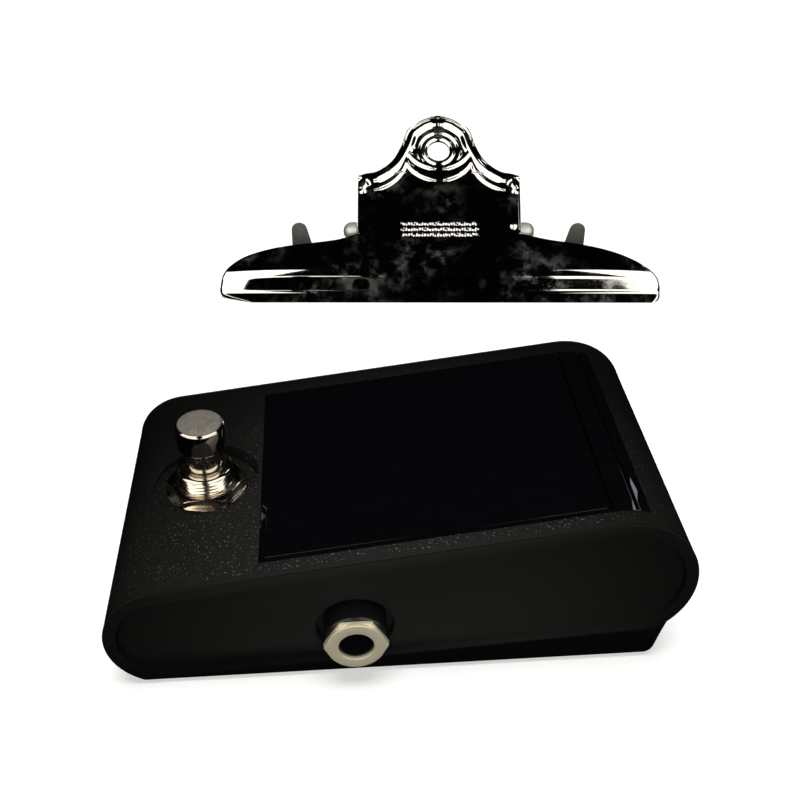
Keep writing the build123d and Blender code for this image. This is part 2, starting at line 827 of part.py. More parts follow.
def jack_contacts(side):
    """Three solder pins under the socket body."""
    with BuildPart() as contacts:
        with BuildSketch(Plane.XY.offset(jack_z - jack_body_height / 2)):
            with Locations((jack_x - 5.0, side * 10.0), (jack_x + 5.0, side * 10.0), (jack_x, side * 20.0)):
                Rectangle(1.2, 0.5)
        extrude(amount=-1.4)
    return contacts.part


jack_parts = {}
for jack_name, side in (("input_jack", -1), ("output_jack", 1)):
    for piece, make in (("body", jack_body), ("nut", jack_nut), ("contacts", jack_contacts)):
        node = jack_name + "_" + piece
        jack_parts[node] = make(side)
        jack_parts[node].label = node

# ---------------------------------------------------------------- display end: buttons, switches, socket
button_front_x = body_length / 2 - 0.2
button_flange_x = tail_reach(tail_z + button_radius + 0.9, wall) - moving_gap
button_flange = 0.9
end_board_x = tail_x + 4.2
switch_face_x = end_board_x + board_thickness + 2.6
stem_end_x = switch_face_x + 0.3 + button_travel + moving_gap
power_back_x = tail_x - 0.5
power_shoulder_x = tail_reach(power_z - 4.8, wall) - 0.5
power_face_x = tail_reach(power_z, 0) - 0.5

with BuildPart() as end_board:
    with BuildSketch(Plane.YZ.offset(end_board_x)):
        with Locations((-13.0, tail_z)):
            Rectangle(26.0, 14.0)
    extrude(amount=board_thickness)
end_board.part.label = "end_board"

with BuildPart() as tact_switches:
    with BuildSketch(Plane.YZ.offset(end_board_x + board_thickness)):
        with Locations(*[(y, tail_z) for y in button_positions_y]):
            Rectangle(6.0, 6.0)
    extrude(amount=2.6)
    with BuildSketch(Plane.YZ.offset(switch_face_x)):
        with Locations(*[(y, tail_z) for y in button_positions_y]):
            Circle(1.6)
    extrude(amount=0.3)
tact_switches.part.label = "tact_switches"

button_parts = {}
for button_name, button_y in zip(("calibration_button", "display_button"), button_positions_y):
    with BuildPart() as button:
        with BuildSketch(Plane.YZ.offset(button_flange_x)):
            with Locations((button_y, tail_z)):
                Circle(button_radius)
        extrude(amount=button_front_x - button_flange_x)
        fillet(button.edges().sort_by(Axis.X)[-1], 0.3)
        with BuildSketch(Plane.YZ.offset(button_flange_x - button_flange)):
            with Locations((button_y, tail_z)):
                Circle(button_radius + 0.9)
        extrude(amount=button_flange)
        with BuildSketch(Plane.YZ.offset(stem_end_x)):
            with Locations((button_y, tail_z)):
                Circle(1.0)
        extrude(amount=button_flange_x - button_flange - stem_end_x)
    button.part.label = button_name
    button_parts[button_name] = button.part

with BuildPart() as power_socket_body:
    with BuildSketch(Plane.YZ.offset(power_back_x)):
        with Locations((power_y, power_z)):
            Rectangle(9.0, 9.6)
    extrude(amount=power_shoulder_x - power_back_x)
    with BuildSketch(Plane.YZ.offset(power_shoulder_x)):
        with Locations((power_y, power_z)):
            Circle(power_bore_radius + 1.15)
    extrude(amount=power_face_x - power_shoulder_x)
    with BuildSketch(Plane.YZ.offset(power_back_x + 4.0)):
        with Locations((power_y, power_z)):
            Circle(power_bore_radius)
    extrude(amount=far, mode=Mode.SUBTRACT)
power_socket_body.part.label = "power_socket_body"

with BuildPart() as power_socket_pin:
    with BuildSketch(Plane.YZ.offset(power_back_x + 4.0)):
        with Locations((power_y, power_z)):
            Circle(power_pin_radius)
    extrude(amount=power_face_x - 1.2 - power_back_x - 4.0)
    fillet(power_socket_pin.edges().sort_by(Axis.X)[-1], 0.4)
power_socket_pin.part.label = "power_socket_pin"

# ---------------------------------------------------------------- board clip
clip_plane = Plane(origin=(clip_x, clip_y, 0)).rotated((0, 0, clip_turn))
clip_u = clip_plane.x_dir
clip_v = clip_plane.y_dir
# Looking along +u: local x is v and local y is w
clip_side = Plane(origin=clip_plane.origin, x_dir=clip_v, z_dir=clip_u)
slope_cos = cos(radians(lever_rise))
slope_sin = sin(radians(lever_rise))


def clip_point(u, v, w):
    """A point of the clip's own frame in the part's frame."""
    return clip_plane.from_local_coords(Vector(u, v, w))


# The lever's outer face: local x is -u, local y is up the slope
lever_face = Plane(
    origin=clip_point(0, lever_start_v, lever_start_w),
    x_dir=clip_u,
    z_dir=clip_plane.from_local_coords(Vector(0, -slope_sin, slope_cos)) - clip_plane.origin,
)
bend_overlap = 0.6
dome_center = lever_reach - dome_radius
shoulder_u = 12.0
shoulder_reach = 31.5
half_lever = lever_width / 2
half_jaw = jaw_width / 2
flange_tip_radius = 4.2
flange_v = 33.0
flange_w = 26.2
ear_radius = 3.6
ear_thickness = 1.0
ear_foot = 5.5
ear_u = half_lever - sheet - 0.3 - ear_thickness
jaw_bend_v = 5.2
jaw_bend_w = 9.4

with BuildPart() as clip_lever:
    # Rolled jaw: a flared lip on the board, a steep front and a roll back to the lever
    with BuildSketch(clip_side):
        with BuildLine():
            FilletPolyline(
                (0.2, 0.0),
                (3.0, 2.3),
                (jaw_bend_v, jaw_bend_w),
                (lever_start_v, lever_start_w),
                radius=[1.5, 4.0],
            )
            offset(amount=sheet, side=Side.RIGHT)
        make_face()
    extrude(amount=half_jaw, both=True)
    # Plan outline of the jaw: long tapering ends
    with BuildSketch(clip_plane.offset(-1.0)):
        with BuildLine():
            jaw_edge = Spline(
                (half_lever, 18.5),
                (41.5, 14.5),
                (50.0, 12.8),
                (61.0, 8.4),
                (half_jaw - 0.8, 3.6),
                tangents=[(1.0, -0.35), (0.5, -1.0)],
            )
            Polyline(jaw_edge @ 1, (half_jaw, 1.5), (half_jaw - 1.0, -1.0), (0, -1.0))
            Polyline((0, -1.0), (0, 18.5), jaw_edge @ 0)
        make_face()
        mirror(about=Plane.YZ)
    extrude(amount=far, mode=Mode.INTERSECT)
    # Lever plate with its shouldered dome and hanging hole
    with BuildSketch(lever_face):
        with BuildLine():
            Polyline((0, -bend_overlap), (half_lever, -bend_overlap), (half_lever, corner_reach))
            Spline(
                (half_lever, corner_reach),
                (half_lever - 4.5, corner_reach + 1.6),
                (shoulder_u + 2.0, shoulder_reach - 2.6),
                (shoulder_u - 0.6, shoulder_reach + 1.8),
                (dome_radius - 0.6, dome_center),
                (dome_radius * sin(radians(45)), dome_center + dome_radius * cos(radians(45))),
                (0, lever_reach),
                tangents=[(-1.0, 0.1), (-1.0, 0.0)],
            )
            Line((0, lever_reach), (0, -bend_overlap))
        make_face()
        mirror(about=Plane.YZ)
        with Locations((0, hanging_hole_reach)):
            Circle(hanging_hole_radius, mode=Mode.SUBTRACT)
    extrude(amount=-sheet)
    # Side flanges that carry the rod
    for side in (-1, 1):
        with BuildSketch(clip_side.offset(side * (half_lever - sheet))):
            with Locations((rod_v, rod_w)):
                Circle(flange_tip_radius)
            with Locations((lever_start_v + 2.0, lever_start_w + 0.4)):
                Circle(0.5)
            with Locations((flange_v, flange_w)):
                Circle(0.5)
            make_hull()
        extrude(amount=side * sheet)
    with BuildSketch(clip_side):
        with Locations((rod_v, rod_w)):
            Circle(rod_radius + running_gap)
    extrude(amount=half_lever + 1.0, both=True, mode=Mode.SUBTRACT)
clip_lever.part.label = "clip_lever"

with BuildPart() as clip_base_plate:
    plate_depth = plate_end_v - plate_start_v
    with BuildSketch(clip_plane):
        with Locations((0, plate_start_v + plate_depth / 2)):
            RectangleRounded(plate_width, plate_depth, 4.0)
        with Locations((-rivet_spread / 2, plate_end_v - 7.0), (rivet_spread / 2, plate_end_v - 7.0)):
            Circle(rivet_hole_radius, mode=Mode.SUBTRACT)
    extrude(amount=sheet)
clip_base_plate.part.label = "clip_base_plate"

# Ears that stand on the plate and hold the rod
with BuildPart() as clip_rod_ears:
    for side in (-1, 1):
        with BuildSketch(clip_side.offset(side * ear_u)):
            with Locations((rod_v, rod_w)):
                Circle(ear_radius)
            with Locations((rod_v, 1.5 * sheet)):
                Rectangle(2 * ear_foot, sheet)
            make_hull()
        extrude(amount=side * ear_thickness)
    with BuildSketch(clip_side):
        with Locations((rod_v, rod_w)):
            Circle(rod_radius)
    extrude(amount=half_lever + 1.0, both=True, mode=Mode.SUBTRACT)
clip_rod_ears.part.label = "clip_rod_ears"

# Leaf-shaped paper stops: upright outside, slanted inside, rounded on top
with BuildPart() as clip_paper_stops:
    stop_tip_u = stop_u + stop_width / 2 - stop_tip_radius
    with BuildSketch(Plane(origin=clip_point(0, stop_v, 0), x_dir=clip_u, z_dir=-clip_v)):
        with Locations((stop_tip_u, stop_height - stop_tip_radius)):
            Circle(stop_tip_radius)
        with Locations((stop_u, 1.5 * sheet)):
            Rectangle(stop_width, sheet)
        make_hull()
    extrude(amount=sheet / 2, both=True)
    mirror(about=clip_side)
clip_paper_stops.part.label = "clip_paper_stops"

with BuildPart() as clip_pivot_rod:
    rod_end_u = half_lever + 0.35
    with BuildSketch(clip_side):
        with Locations((rod_v, rod_w)):
            Circle(rod_radius)
    extrude(amount=rod_end_u + 1.0, both=True)
    # Domed ends that keep the rod in
    for side in (-1, 1):
        cap_center = clip_point(side * rod_end_u, rod_v, rod_w)
        cap_plane = Plane(origin=cap_center, x_dir=clip_v, z_dir=side * clip_u)
        with BuildSketch(cap_plane):
            Circle(rod_cap_radius)
        extrude(amount=4.6)
        fillet(clip_pivot_rod.edges().sort_by(Axis(cap_plane.origin, cap_plane.z_dir))[-1], 2.6)
clip_pivot_rod.part.label = "clip_pivot_rod"

with BuildPart() as clip_spring:
    spring_wire = 0.7
    spring_radius = 3.0
    spring_turns = 8
    spring_pitch = 2 * spring_wire + 0.25
    spring_length = spring_turns * spring_pitch
    spring_start = clip_point(-spring_length / 2, rod_v, rod_w)
    with BuildLine() as spring_path:
        Helix(
            pitch=spring_pitch,
            height=spring_length,
            radius=spring_radius,
            center=spring_start,
            direction=clip_u,
        )
    with BuildSketch(Plane(origin=spring_path.line @ 0, z_dir=spring_path.line % 0)):
        Circle(spring_wire)
    sweep()
clip_spring.part.label = "clip_spring"

# ---------------------------------------------------------------- write every piece
pieces = [
    upper_housing.part,
    bottom_cover.part,
    rubber_sole.part,
    cover_screws.part,
    battery.part,
    battery_snap.part,
    battery_foam.part,
    battery_door.part,
    display_window.part,
    display_mask.part,
    display_board.part,
    display_leds.part,
    main_board.part,
    main_board_chips.part,
    board_header.part,
    footswitch_body.part,
    footswitch_terminals.part,
    footswitch_bushing.part,
    footswitch_washer.part,
    footswitch_nut.part,
    footswitch_spring.part,
    footswitch_plunger.part,
    end_board.part,
    tact_switches.part,
    power_socket_body.part,
    power_socket_pin.part,
    clip_lever.part,
    clip_base_plate.part,
    clip_rod_ears.part,
    clip_paper_stops.part,
    clip_pivot_rod.part,
    clip_spring.part,
]
pieces += lead_parts.values()
pieces += jack_parts.values()
pieces += button_parts.values()

os.makedirs("parts", exist_ok=True)
for piece in pieces:
    export_step(piece, "parts/" + piece.label + ".step")
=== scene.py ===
import json
from math import acos, atan2, cos, pi, radians, sin, sqrt, tan

import bpy
import numpy as np
from mathutils import Matrix, Vector


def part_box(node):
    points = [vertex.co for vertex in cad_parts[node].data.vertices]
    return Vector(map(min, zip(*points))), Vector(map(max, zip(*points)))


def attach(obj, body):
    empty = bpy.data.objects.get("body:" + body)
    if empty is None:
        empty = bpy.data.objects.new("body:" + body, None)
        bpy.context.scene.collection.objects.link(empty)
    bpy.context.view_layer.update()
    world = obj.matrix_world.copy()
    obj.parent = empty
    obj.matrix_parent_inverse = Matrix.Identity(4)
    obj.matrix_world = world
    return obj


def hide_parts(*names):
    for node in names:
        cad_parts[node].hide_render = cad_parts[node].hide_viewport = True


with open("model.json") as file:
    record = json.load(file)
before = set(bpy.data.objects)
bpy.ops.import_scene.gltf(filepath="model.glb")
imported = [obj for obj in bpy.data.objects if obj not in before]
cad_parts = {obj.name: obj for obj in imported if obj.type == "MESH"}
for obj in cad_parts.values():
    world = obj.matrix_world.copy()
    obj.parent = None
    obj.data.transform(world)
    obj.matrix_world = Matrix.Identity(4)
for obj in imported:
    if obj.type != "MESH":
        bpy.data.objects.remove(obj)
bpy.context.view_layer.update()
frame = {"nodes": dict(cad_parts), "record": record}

# A floor tuner and the chromed board clip that lies behind it. Design sizes are in millimetres and
# are turned into metres by MM; places come from the frame's boxes and mounts.
MM = 0.001
MERGE = 0.002 * MM
FLAT = radians(0.3)
MOUNTS = {mount["name"]: mount for mount in frame["record"]["mounts"]}


# ---------------------------------------------------------------- modelling helpers
def activate(piece):
    """Makes a piece the only one selected."""
    bpy.ops.object.select_all(action="DESELECT")
    piece.select_set(True)
    bpy.context.view_layer.objects.active = piece


def apply_modifier(piece, name, kind, **settings):
    """Adds a modifier to a piece and applies it."""
    activate(piece)
    modifier = piece.modifiers.new(name, kind)
    for setting, value in settings.items():
        setattr(modifier, setting, value)
    bpy.ops.object.modifier_apply(modifier=name)


def smooth(piece, angle=35):
    """Smooth shading, broken at edges sharper than the angle."""
    activate(piece)
    bpy.ops.object.shade_smooth_by_angle(angle=radians(angle))


def round_edges(piece, radius, segments=3, angle=28):
    """Rounds every edge that turns by more than the angle."""
    apply_modifier(
        piece,
        "edges",
        "BEVEL",
        width=radius * MM,
        segments=segments,
        limit_method="ANGLE",
        angle_limit=radians(angle),
        use_clamp_overlap=True,
        miter_outer="MITER_ARC",
    )
    smooth(piece)


def clean_copy(node, name):
    """A copy of a node's shape as one closed skin with flat faces in one piece."""
    activate(frame["nodes"][node])
    bpy.ops.object.duplicate()
    piece = bpy.context.view_layer.objects.active
    piece.name = name
    bpy.ops.mesh.customdata_custom_splitnormals_clear()
    bpy.ops.object.mode_set(mode="EDIT")
    bpy.ops.mesh.select_all(action="SELECT")
    bpy.ops.mesh.remove_doubles(threshold=MERGE)
    bpy.ops.mesh.dissolve_limited(angle_limit=FLAT)
    bpy.ops.object.mode_set(mode="OBJECT")
    piece.data.materials.clear()
    return piece


def lathe(name, outline, steps=96):
    """A piece turned about the Z axis from an outline of (radius, height) points."""
    mesh = bpy.data.meshes.new(name)
    points = [(radius * MM, 0, height * MM) for radius, height in outline]
    mesh.from_pydata(points, [(i, i + 1) for i in range(len(points) - 1)], [])
    piece = bpy.data.objects.new(name, mesh)
    bpy.context.collection.objects.link(piece)
    activate(piece)
    bpy.ops.object.mode_set(mode="EDIT")
    bpy.ops.mesh.select_all(action="SELECT")
    bpy.ops.mesh.spin(steps=steps, angle=2 * pi, center=(0, 0, 0), axis=(0, 0, 1))
    bpy.ops.mesh.select_all(action="SELECT")
    bpy.ops.mesh.remove_doubles(threshold=MERGE)
    bpy.ops.mesh.normals_make_consistent(inside=False)
    bpy.ops.object.mode_set(mode="OBJECT")
    return piece


def join_pieces(first, *others):
    """Joins finished meshes into the first."""
    bpy.ops.object.select_all(action="DESELECT")
    for piece in (first, *others):
        piece.select_set(True)
    bpy.context.view_layer.objects.active = first
    bpy.ops.object.join()


NUT_CHAMFER = 0.08
NUT_SLANT = radians(27)


def hex_nut(name, flats, low, high, bore, face):
    """A hexagon with its corners on X, bored, and turned down to a round face at its high end."""
    corner = flats / sqrt(3) + 0.01
    slant = (corner - face) * tan(NUT_SLANT)
    blank = lathe(
        name + "_blank",
        [
            (bore + NUT_CHAMFER, high),
            (face, high),
            (corner, high - slant),
            (corner, low + 0.15),
            (corner - 0.3, low),
            (bore, low),
            (bore, high - NUT_CHAMFER - 0.02),
            (bore, high - NUT_CHAMFER),
            (bore + NUT_CHAMFER, high),
        ],
        steps=144,
    )
    bpy.ops.object.select_all(action="DESELECT")
    bpy.ops.mesh.primitive_cylinder_add(vertices=6, radius=flats / sqrt(3) * MM, depth=(high - low + 1) * MM)
    nut = bpy.context.view_layer.objects.active
    nut.name = name
    middle = Matrix.Translation((0, 0, (low + high) / 2 * MM))
    nut.data.transform(middle @ Matrix.Rotation(pi / 6, 4, "Z"))
    apply_modifier(nut, "turn", "BOOLEAN", operation="INTERSECT", solver="EXACT", object=blank)
    bpy.data.objects.remove(blank)
    round_edges(nut, NUT_CHAMFER, segments=2, angle=16)
    return nut


def points_of(piece):
    """Vertex places of a piece as an array, in metres."""
    flat = np.empty(len(piece.data.vertices) * 3)
    piece.data.vertices.foreach_get("co", flat)
    return flat.reshape(-1, 3)


def set_points(piece, points):
    piece.data.vertices.foreach_set("co", np.asarray(points, dtype=float).ravel())
    piece.data.update()


def move_radially(piece, change):
    """Moves each vertex out from the Z axis by change(radius, angle, height), all in millimetres."""
    points = points_of(piece)
    radius = np.hypot(points[:, 0], points[:, 1]) / MM
    angle = np.arctan2(points[:, 1], points[:, 0])
    grown = (radius + change(radius, angle, points[:, 2] / MM)) / np.maximum(radius, 1e-6)
    points[:, :2] *= grown[:, None]
    set_points(piece, points)


def finish_piece(piece, body, material, slot, *replaced):
    """Gives a piece its material and its body, and hides the nodes it stands for; slot is not used."""
    piece.data.materials.clear()
    piece.data.materials.append(material)
    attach(piece, body)
    if replaced:
        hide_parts(*replaced)


# ---------------------------------------------------------------- material helpers
class Value:
    """A socket of a material, used as a number in an expression."""

    def __init__(self, finish, socket):
        self.finish = finish
        self.socket = socket

    def math(self, operation, *values):
        return self.finish.node("ShaderNodeMath", {"operation": operation}, dict(enumerate(values)))

    def __add__(self, other):
        return self.math("ADD", self, other)

    def __sub__(self, other):
        return self.math("SUBTRACT", self, other)

    def __rsub__(self, other):
        return self.math("SUBTRACT", other, self)

    def __mul__(self, other):
        return self.math("MULTIPLY", self, other)

    __radd__ = __add__
    __rmul__ = __mul__


class Finish:
    """A procedural material being built, on object coordinates."""

    def __init__(self, name, **constants):
        self.material = bpy.data.materials.new(name)
        self.material.use_nodes = True
        self.tree = self.material.node_tree
        self.shader = self.tree.nodes["Principled BSDF"]
        for socket, value in constants.items():
            self.shader.inputs[socket.replace("_", " ")].default_value = value
        self.place = self.node("ShaderNodeTexCoord", {}, {}, "Object")

    def node(self, kind, settings, sockets, output=0):
        """Adds a node with its settings and the values or links of its sockets."""
        node = self.tree.nodes.new(kind)
        for setting, value in settings.items():
            setattr(node, setting, value)
        for socket, value in sockets.items():
            self.feed(node.inputs[socket], value)
        return Value(self, node.outputs[output])

    def feed(self, socket, value):
        if isinstance(value, Value):
            self.tree.links.new(value.socket, socket)
        else:
            socket.default_value = value

    def stretched(self, scale):
        return self.node("ShaderNodeMapping", {}, {"Vector": self.place, "Scale": scale})

    def noise(self, size, detail=2.0, roughness=0.5, place=None):
        """Noise from 0 to 1 with features about size millimetres wide."""
        return self.node(
            "ShaderNodeTexNoise",
            {},
            {
                "Vector": place or self.place,
                "Scale": 1 / (size * MM),
                "Detail": detail,
                "Roughness": roughness,
            },
        )

    def step(self, value, low, high):
        """0 below low and 1 above high, with a soft rise between."""
        sockets = {"Value": value, "From Min": low, "From Max": high}
        return self.node("ShaderNodeMapRange", {"interpolation_type": "SMOOTHSTEP"}, sockets)

    def mix(self, factor, first, second):
        """A colour between two colours."""
        sockets = {0: factor, 6: (*first, 1) if isinstance(first, tuple) else first}
        sockets[7] = (*second, 1) if isinstance(second, tuple) else second
        return self.node("ShaderNodeMix", {"data_type": "RGBA"}, sockets, 2)

    def surface(self, colour, roughness, height=None, depth=0.0):
        """Connects the varying parts of the surface; depth is the bump's height in millimetres."""
        self.feed(self.shader.inputs["Base Color"], colour)
        self.feed(self.shader.inputs["Roughness"], roughness)
        if height is not None:
            sockets = {"Height": height, "Distance": depth * MM, "Strength": 1.0}
            bump = self.node("ShaderNodeBump", {}, sockets)
            self.feed(self.shader.inputs["Normal"], bump)
        return self.material


def moulded_plastic(name, dark, light, grain, rough):
    """Satin moulding with a fine grain and scattered light specks."""
    finish = Finish(name, Specular_IOR_Level=0.025)
    fine = finish.noise(grain, 3.0, 0.6)
    broad = finish.noise(9.0, 3.0)
    speck = finish.step(finish.noise(grain * 1.2, 2.0, 0.6), 0.635, 0.73)
    drift = finish.step(broad, 0.30, 0.62)
    colour = finish.mix(speck * (drift * 0.75 + 0.25), dark, light)
    return finish.surface(colour, broad * 0.10 + fine * 0.12 + rough, fine + speck * 0.6, 0.03)


# The painted pool of light's start and full strength above the floor, so the housing is painted darker towards
# the floor as painted shade, and its fading with distance; then the painted glints' start and full strength
# above the floor and in from either side
LIGHT_POOL_RISE = (3 * MM, 8 * MM)
LIGHT_POOL_REACH = (10 * MM, 75 * MM)
GLINT_RISE = (16 * MM, 19 * MM)
GLINT_INSET = (2.4 * MM, 1.8 * MM)
GRAIN_AND_GLINT_SIZE = 0.36


def plastic_with_painted_light(name, dark, light_pool, glint, middle, half_width):
    """Satin moulding with a painted pool of light round one point, painted darker towards the floor as painted
    shade, and light flecks as painted glints in that pool on the top face.
    """
    finish = Finish(name, Specular_IOR_Level=0.025)
    sockets = {0: finish.place, 1: middle}
    away = finish.node("ShaderNodeVectorMath", {"operation": "DISTANCE"}, sockets, "Value")
    across = finish.node("ShaderNodeSeparateXYZ", {}, {"Vector": finish.place}, "Y")
    rise = finish.node("ShaderNodeSeparateXYZ", {}, {"Vector": finish.place}, "Z")
    side = finish.node("ShaderNodeMath", {"operation": "ABSOLUTE"}, {0: across})
    # Painted light: a pool of light round one point, fading out towards the floor as painted shade
    light_pool_mask = finish.step(rise, *LIGHT_POOL_RISE) * (1.0 - finish.step(away, *LIGHT_POOL_REACH))
    # Painted glints: light flecks only on the top face, inside the painted pool of light
    above = 1.0 - finish.step(side, *(half_width - inset for inset in GLINT_INSET))
    above = above * finish.step(rise, *GLINT_RISE)
    fine = finish.noise(GRAIN_AND_GLINT_SIZE, 3.0, 0.6)
    broad = finish.noise(9.0, 3.0)
    speck = finish.step(finish.noise(GRAIN_AND_GLINT_SIZE * 1.3, 2.0, 0.6), 0.60, 0.74)
    drift = finish.step(broad, 0.25, 0.60)
    ground = finish.mix(light_pool_mask, dark, light_pool)
    colour = finish.mix(speck * above * light_pool_mask * (drift * 0.7 + 0.3), ground, glint)
    return finish.surface(colour, broad * 0.10 + fine * 0.12 + 0.5, fine + speck * above * 0.5, 0.03)


def rubber(name, dark, light):
    """Dull rubber with patches of dust."""
    finish = Finish(name, Roughness=0.8, Specular_IOR_Level=0.25)
    grain = finish.noise(0.5, 4.0, 0.65)
    dust = finish.step(finish.noise(6.0, 4.0), 0.5, 0.75)
    return finish.surface(finish.mix(dust * 0.5, dark, light), grain * 0.15 + 0.72, grain, 0.03)


def lens_black(name):
    """Polished black window with faint wipe marks."""
    finish = Finish(name, Specular_IOR_Level=0.5, IOR=1.49)
    wipe = finish.noise(2.0, 3.0, 0.55, finish.stretched((0.3, 1.0, 1.0)))
    colour = finish.mix(wipe, (0.0012, 0.0012, 0.0018), (0.0022, 0.0022, 0.0032))
    return finish.surface(colour, finish.step(wipe, 0.5, 0.8) * 0.03 + 0.03)


def chrome(name, tint, haze, base=0.035, dull=0.22):
    """Bright plating with a hazy film, finger marks and hairline scratches."""
    finish = Finish(name)
    cloud = finish.step(finish.noise(5.0, 6.0, 0.66), 0.47, 0.80)
    patch = finish.step(finish.noise(24.0, 2.0), 0.40, 0.62)
    scratch = finish.step(finish.noise(0.4, 2.0, 0.5, finish.stretched((1.0, 0.05, 0.05))), 0.70, 0.78)
    mark = cloud * patch
    finish.feed(finish.shader.inputs["Metallic"], 1.0 - mark * 0.10)
    colour = finish.mix(mark, tint, haze)
    rough = mark * dull + scratch * 0.05 + base
    return finish.surface(colour, rough, finish.noise(4.0, 2.0), 0.003)


def plated_steel(name, tint, shade, rough=0.28, metal=1.0):
    """Brushed plating with stains."""
    finish = Finish(name, Metallic=metal)
    brushed = finish.noise(0.4, 3.0, 0.6, finish.stretched((0.15, 1.0, 1.0)))
    stain = finish.step(finish.noise(5.0, 4.0, 0.6), 0.45, 0.75)
    colour = finish.mix(stain * 0.8 + brushed * 0.2, tint, shade)
    return finish.surface(colour, brushed * 0.12 + stain * 0.10 + rough, brushed, 0.006)


def worn_chrome(name, top):
    """Plating with a top face rubbed dull by shoes; top is that face's height in millimetres."""
    finish = Finish(name)
    height = finish.node("ShaderNodeSeparateXYZ", {}, {"Vector": finish.place}, "Z")
    crown = finish.step(height * (1 / MM), top - 0.30, top - 0.12)
    rubbed = finish.noise(1.2, 4.0, 0.65)
    scratch = finish.step(finish.noise(0.35, 2.0, 0.5, finish.stretched((1.0, 0.08, 1.0))), 0.60, 0.72)
    colour = finish.mix(rubbed, (0.80, 0.75, 0.66), (0.56, 0.52, 0.44))
    finish.feed(finish.shader.inputs["Metallic"], 1.0 - crown * (rubbed * 0.3 + 0.03))
    rough = rubbed * 0.10 + scratch * 0.10 + crown * 0.30 + 0.05
    return finish.surface(colour, rough, rubbed + scratch, 0.006)


def plain_inside(name, base, rough=0.5, metal=0.0, mottle=0.25, size=1.5):
    """Simple finish of a piece inside, with a slight mottle."""
    finish = Finish(name, Metallic=metal)
    tone = finish.noise(size, 3.0)
    darker = tuple(channel * (1 - mottle) for channel in base)
    return finish.surface(finish.mix(tone, darker, base), tone * 0.15 + rough, tone, 0.01)


# Painted light on the housing: a pool of light round this point in the second colour, with painted glints in
# the third
LIGHT_POOL_MIDDLE = (0.0, -30 * MM, 20 * MM)
housing_low, housing_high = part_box("upper_housing")
housing_black = plastic_with_painted_light(
    "housing_black",
    (0.0032, 0.0032, 0.0031),
    (0.0140, 0.0140, 0.0133),
    (0.20, 0.20, 0.18),
    LIGHT_POOL_MIDDLE,
    housing_high.y,
)
cover_black = moulded_plastic("cover_black", (0.0022, 0.0022, 0.0022), (0.008, 0.008, 0.008), 0.4, 0.55)
sole_rubber = rubber("sole_rubber", (0.0030, 0.0030, 0.0030), (0.010, 0.010, 0.009))
window_black = lens_black("window_black")
clip_chrome = chrome("clip_chrome", (0.90, 0.89, 0.86), (0.62, 0.63, 0.66))
clip_steel = plated_steel("clip_steel", (0.60, 0.36, 0.22), (0.34, 0.20, 0.12), 0.35, metal=0.8)
stop_steel = plated_steel("stop_steel", (0.13, 0.13, 0.12), (0.085, 0.085, 0.08), 0.45, metal=0.35)
rod_nickel = plated_steel("rod_nickel", (0.80, 0.80, 0.75), (0.50, 0.51, 0.48), 0.36, metal=0.75)
switch_gold = chrome("switch_gold", (0.88, 0.80, 0.68), (0.62, 0.54, 0.45), 0.13, 0.15)
plunger_chrome = worn_chrome("plunger_chrome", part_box("footswitch_plunger")[1].z / MM)
jack_nickel = plated_steel("jack_nickel", (0.82, 0.76, 0.56), (0.72, 0.66, 0.46), 0.38, metal=0.5)
jack_black = plain_inside("jack_black", (0.006, 0.006, 0.007), 0.18)
spring_steel = plated_steel("spring_steel", (0.55, 0.55, 0.56), (0.35, 0.35, 0.36))
screw_steel = plated_steel("screw_steel", (0.34, 0.34, 0.36), (0.20, 0.20, 0.21), 0.35)
button_black = rubber("button_black", (0.018, 0.018, 0.018), (0.035, 0.035, 0.034))
# Painted shade: near-black for the band that stands for the shadowed line along the housing's top edges
shadow_line_black = plain_inside("shadow_line_black", (0.0006, 0.0006, 0.0006), 0.8)
contact_metal = plain_inside("contact_metal", (0.75, 0.73, 0.68), 0.3, 1.0)

FINISH_OF_SLOT = {
    "battery_case": plain_inside("battery_case", (0.08, 0.10, 0.16), 0.35, 0.4),
    "snap_plastic": plain_inside("snap_plastic", (0.03, 0.03, 0.03)),
    "lead_red": plain_inside("lead_red", (0.5, 0.03, 0.03), 0.4),
    "lead_black": plain_inside("lead_black", (0.02, 0.02, 0.02), 0.4),
    "foam": plain_inside("foam", (0.12, 0.12, 0.12), 0.9, mottle=0.6, size=0.6),
    "mask_black": plain_inside("mask_black", (0.004, 0.004, 0.004), 0.7),
    "circuit_green": plain_inside("circuit_green", (0.02, 0.12, 0.05), 0.35, size=3.0),
    "led_white": plain_inside("led_white", (0.8, 0.8, 0.75), 0.2),
    "chip_black": plain_inside("chip_black", (0.02, 0.02, 0.02), 0.45),
    "switch_blue": plain_inside("switch_blue", (0.02, 0.10, 0.35), 0.4),
    "contact_metal": contact_metal,
    "spring_steel": spring_steel,
    "screw_steel": screw_steel,
    "button_black": button_black,
    "jack_black": jack_black,
    "switch_gold": switch_gold,
    "jack_nickel": jack_nickel,
    "rod_nickel": rod_nickel,
    "housing_black": housing_black,
    "cover_black": cover_black,
    "sole_rubber": sole_rubber,
    "window_black": window_black,
    "clip_chrome": clip_chrome,
    "clip_steel": clip_steel,
    "plunger_chrome": plunger_chrome,
}
for subpart in frame["record"]["subparts"]:
    for material_slot in frame["nodes"][subpart["node"]].material_slots:
        material_slot.material = FINISH_OF_SLOT[subpart["material_slot"]]


# ---------------------------------------------------------------- tuner casing
def casing_piece(node, name, edge, material, slot, body="tuner"):
    """A casing part with its moulded edges rounded."""
    piece = clean_copy(node, name)
    round_edges(piece, edge)
    finish_piece(piece, body, material, slot, node)


def keep_between(piece, cuts):
    """Cuts a piece by planes given as a point and the direction that is cut away, closing each cut."""
    activate(piece)
    bpy.ops.object.mode_set(mode="EDIT")
    for point, facing in cuts:
        bpy.ops.mesh.select_all(action="SELECT")
        bpy.ops.mesh.bisect(plane_co=point, plane_no=facing, use_fill=True, clear_outer=True)
    bpy.ops.object.mode_set(mode="OBJECT")
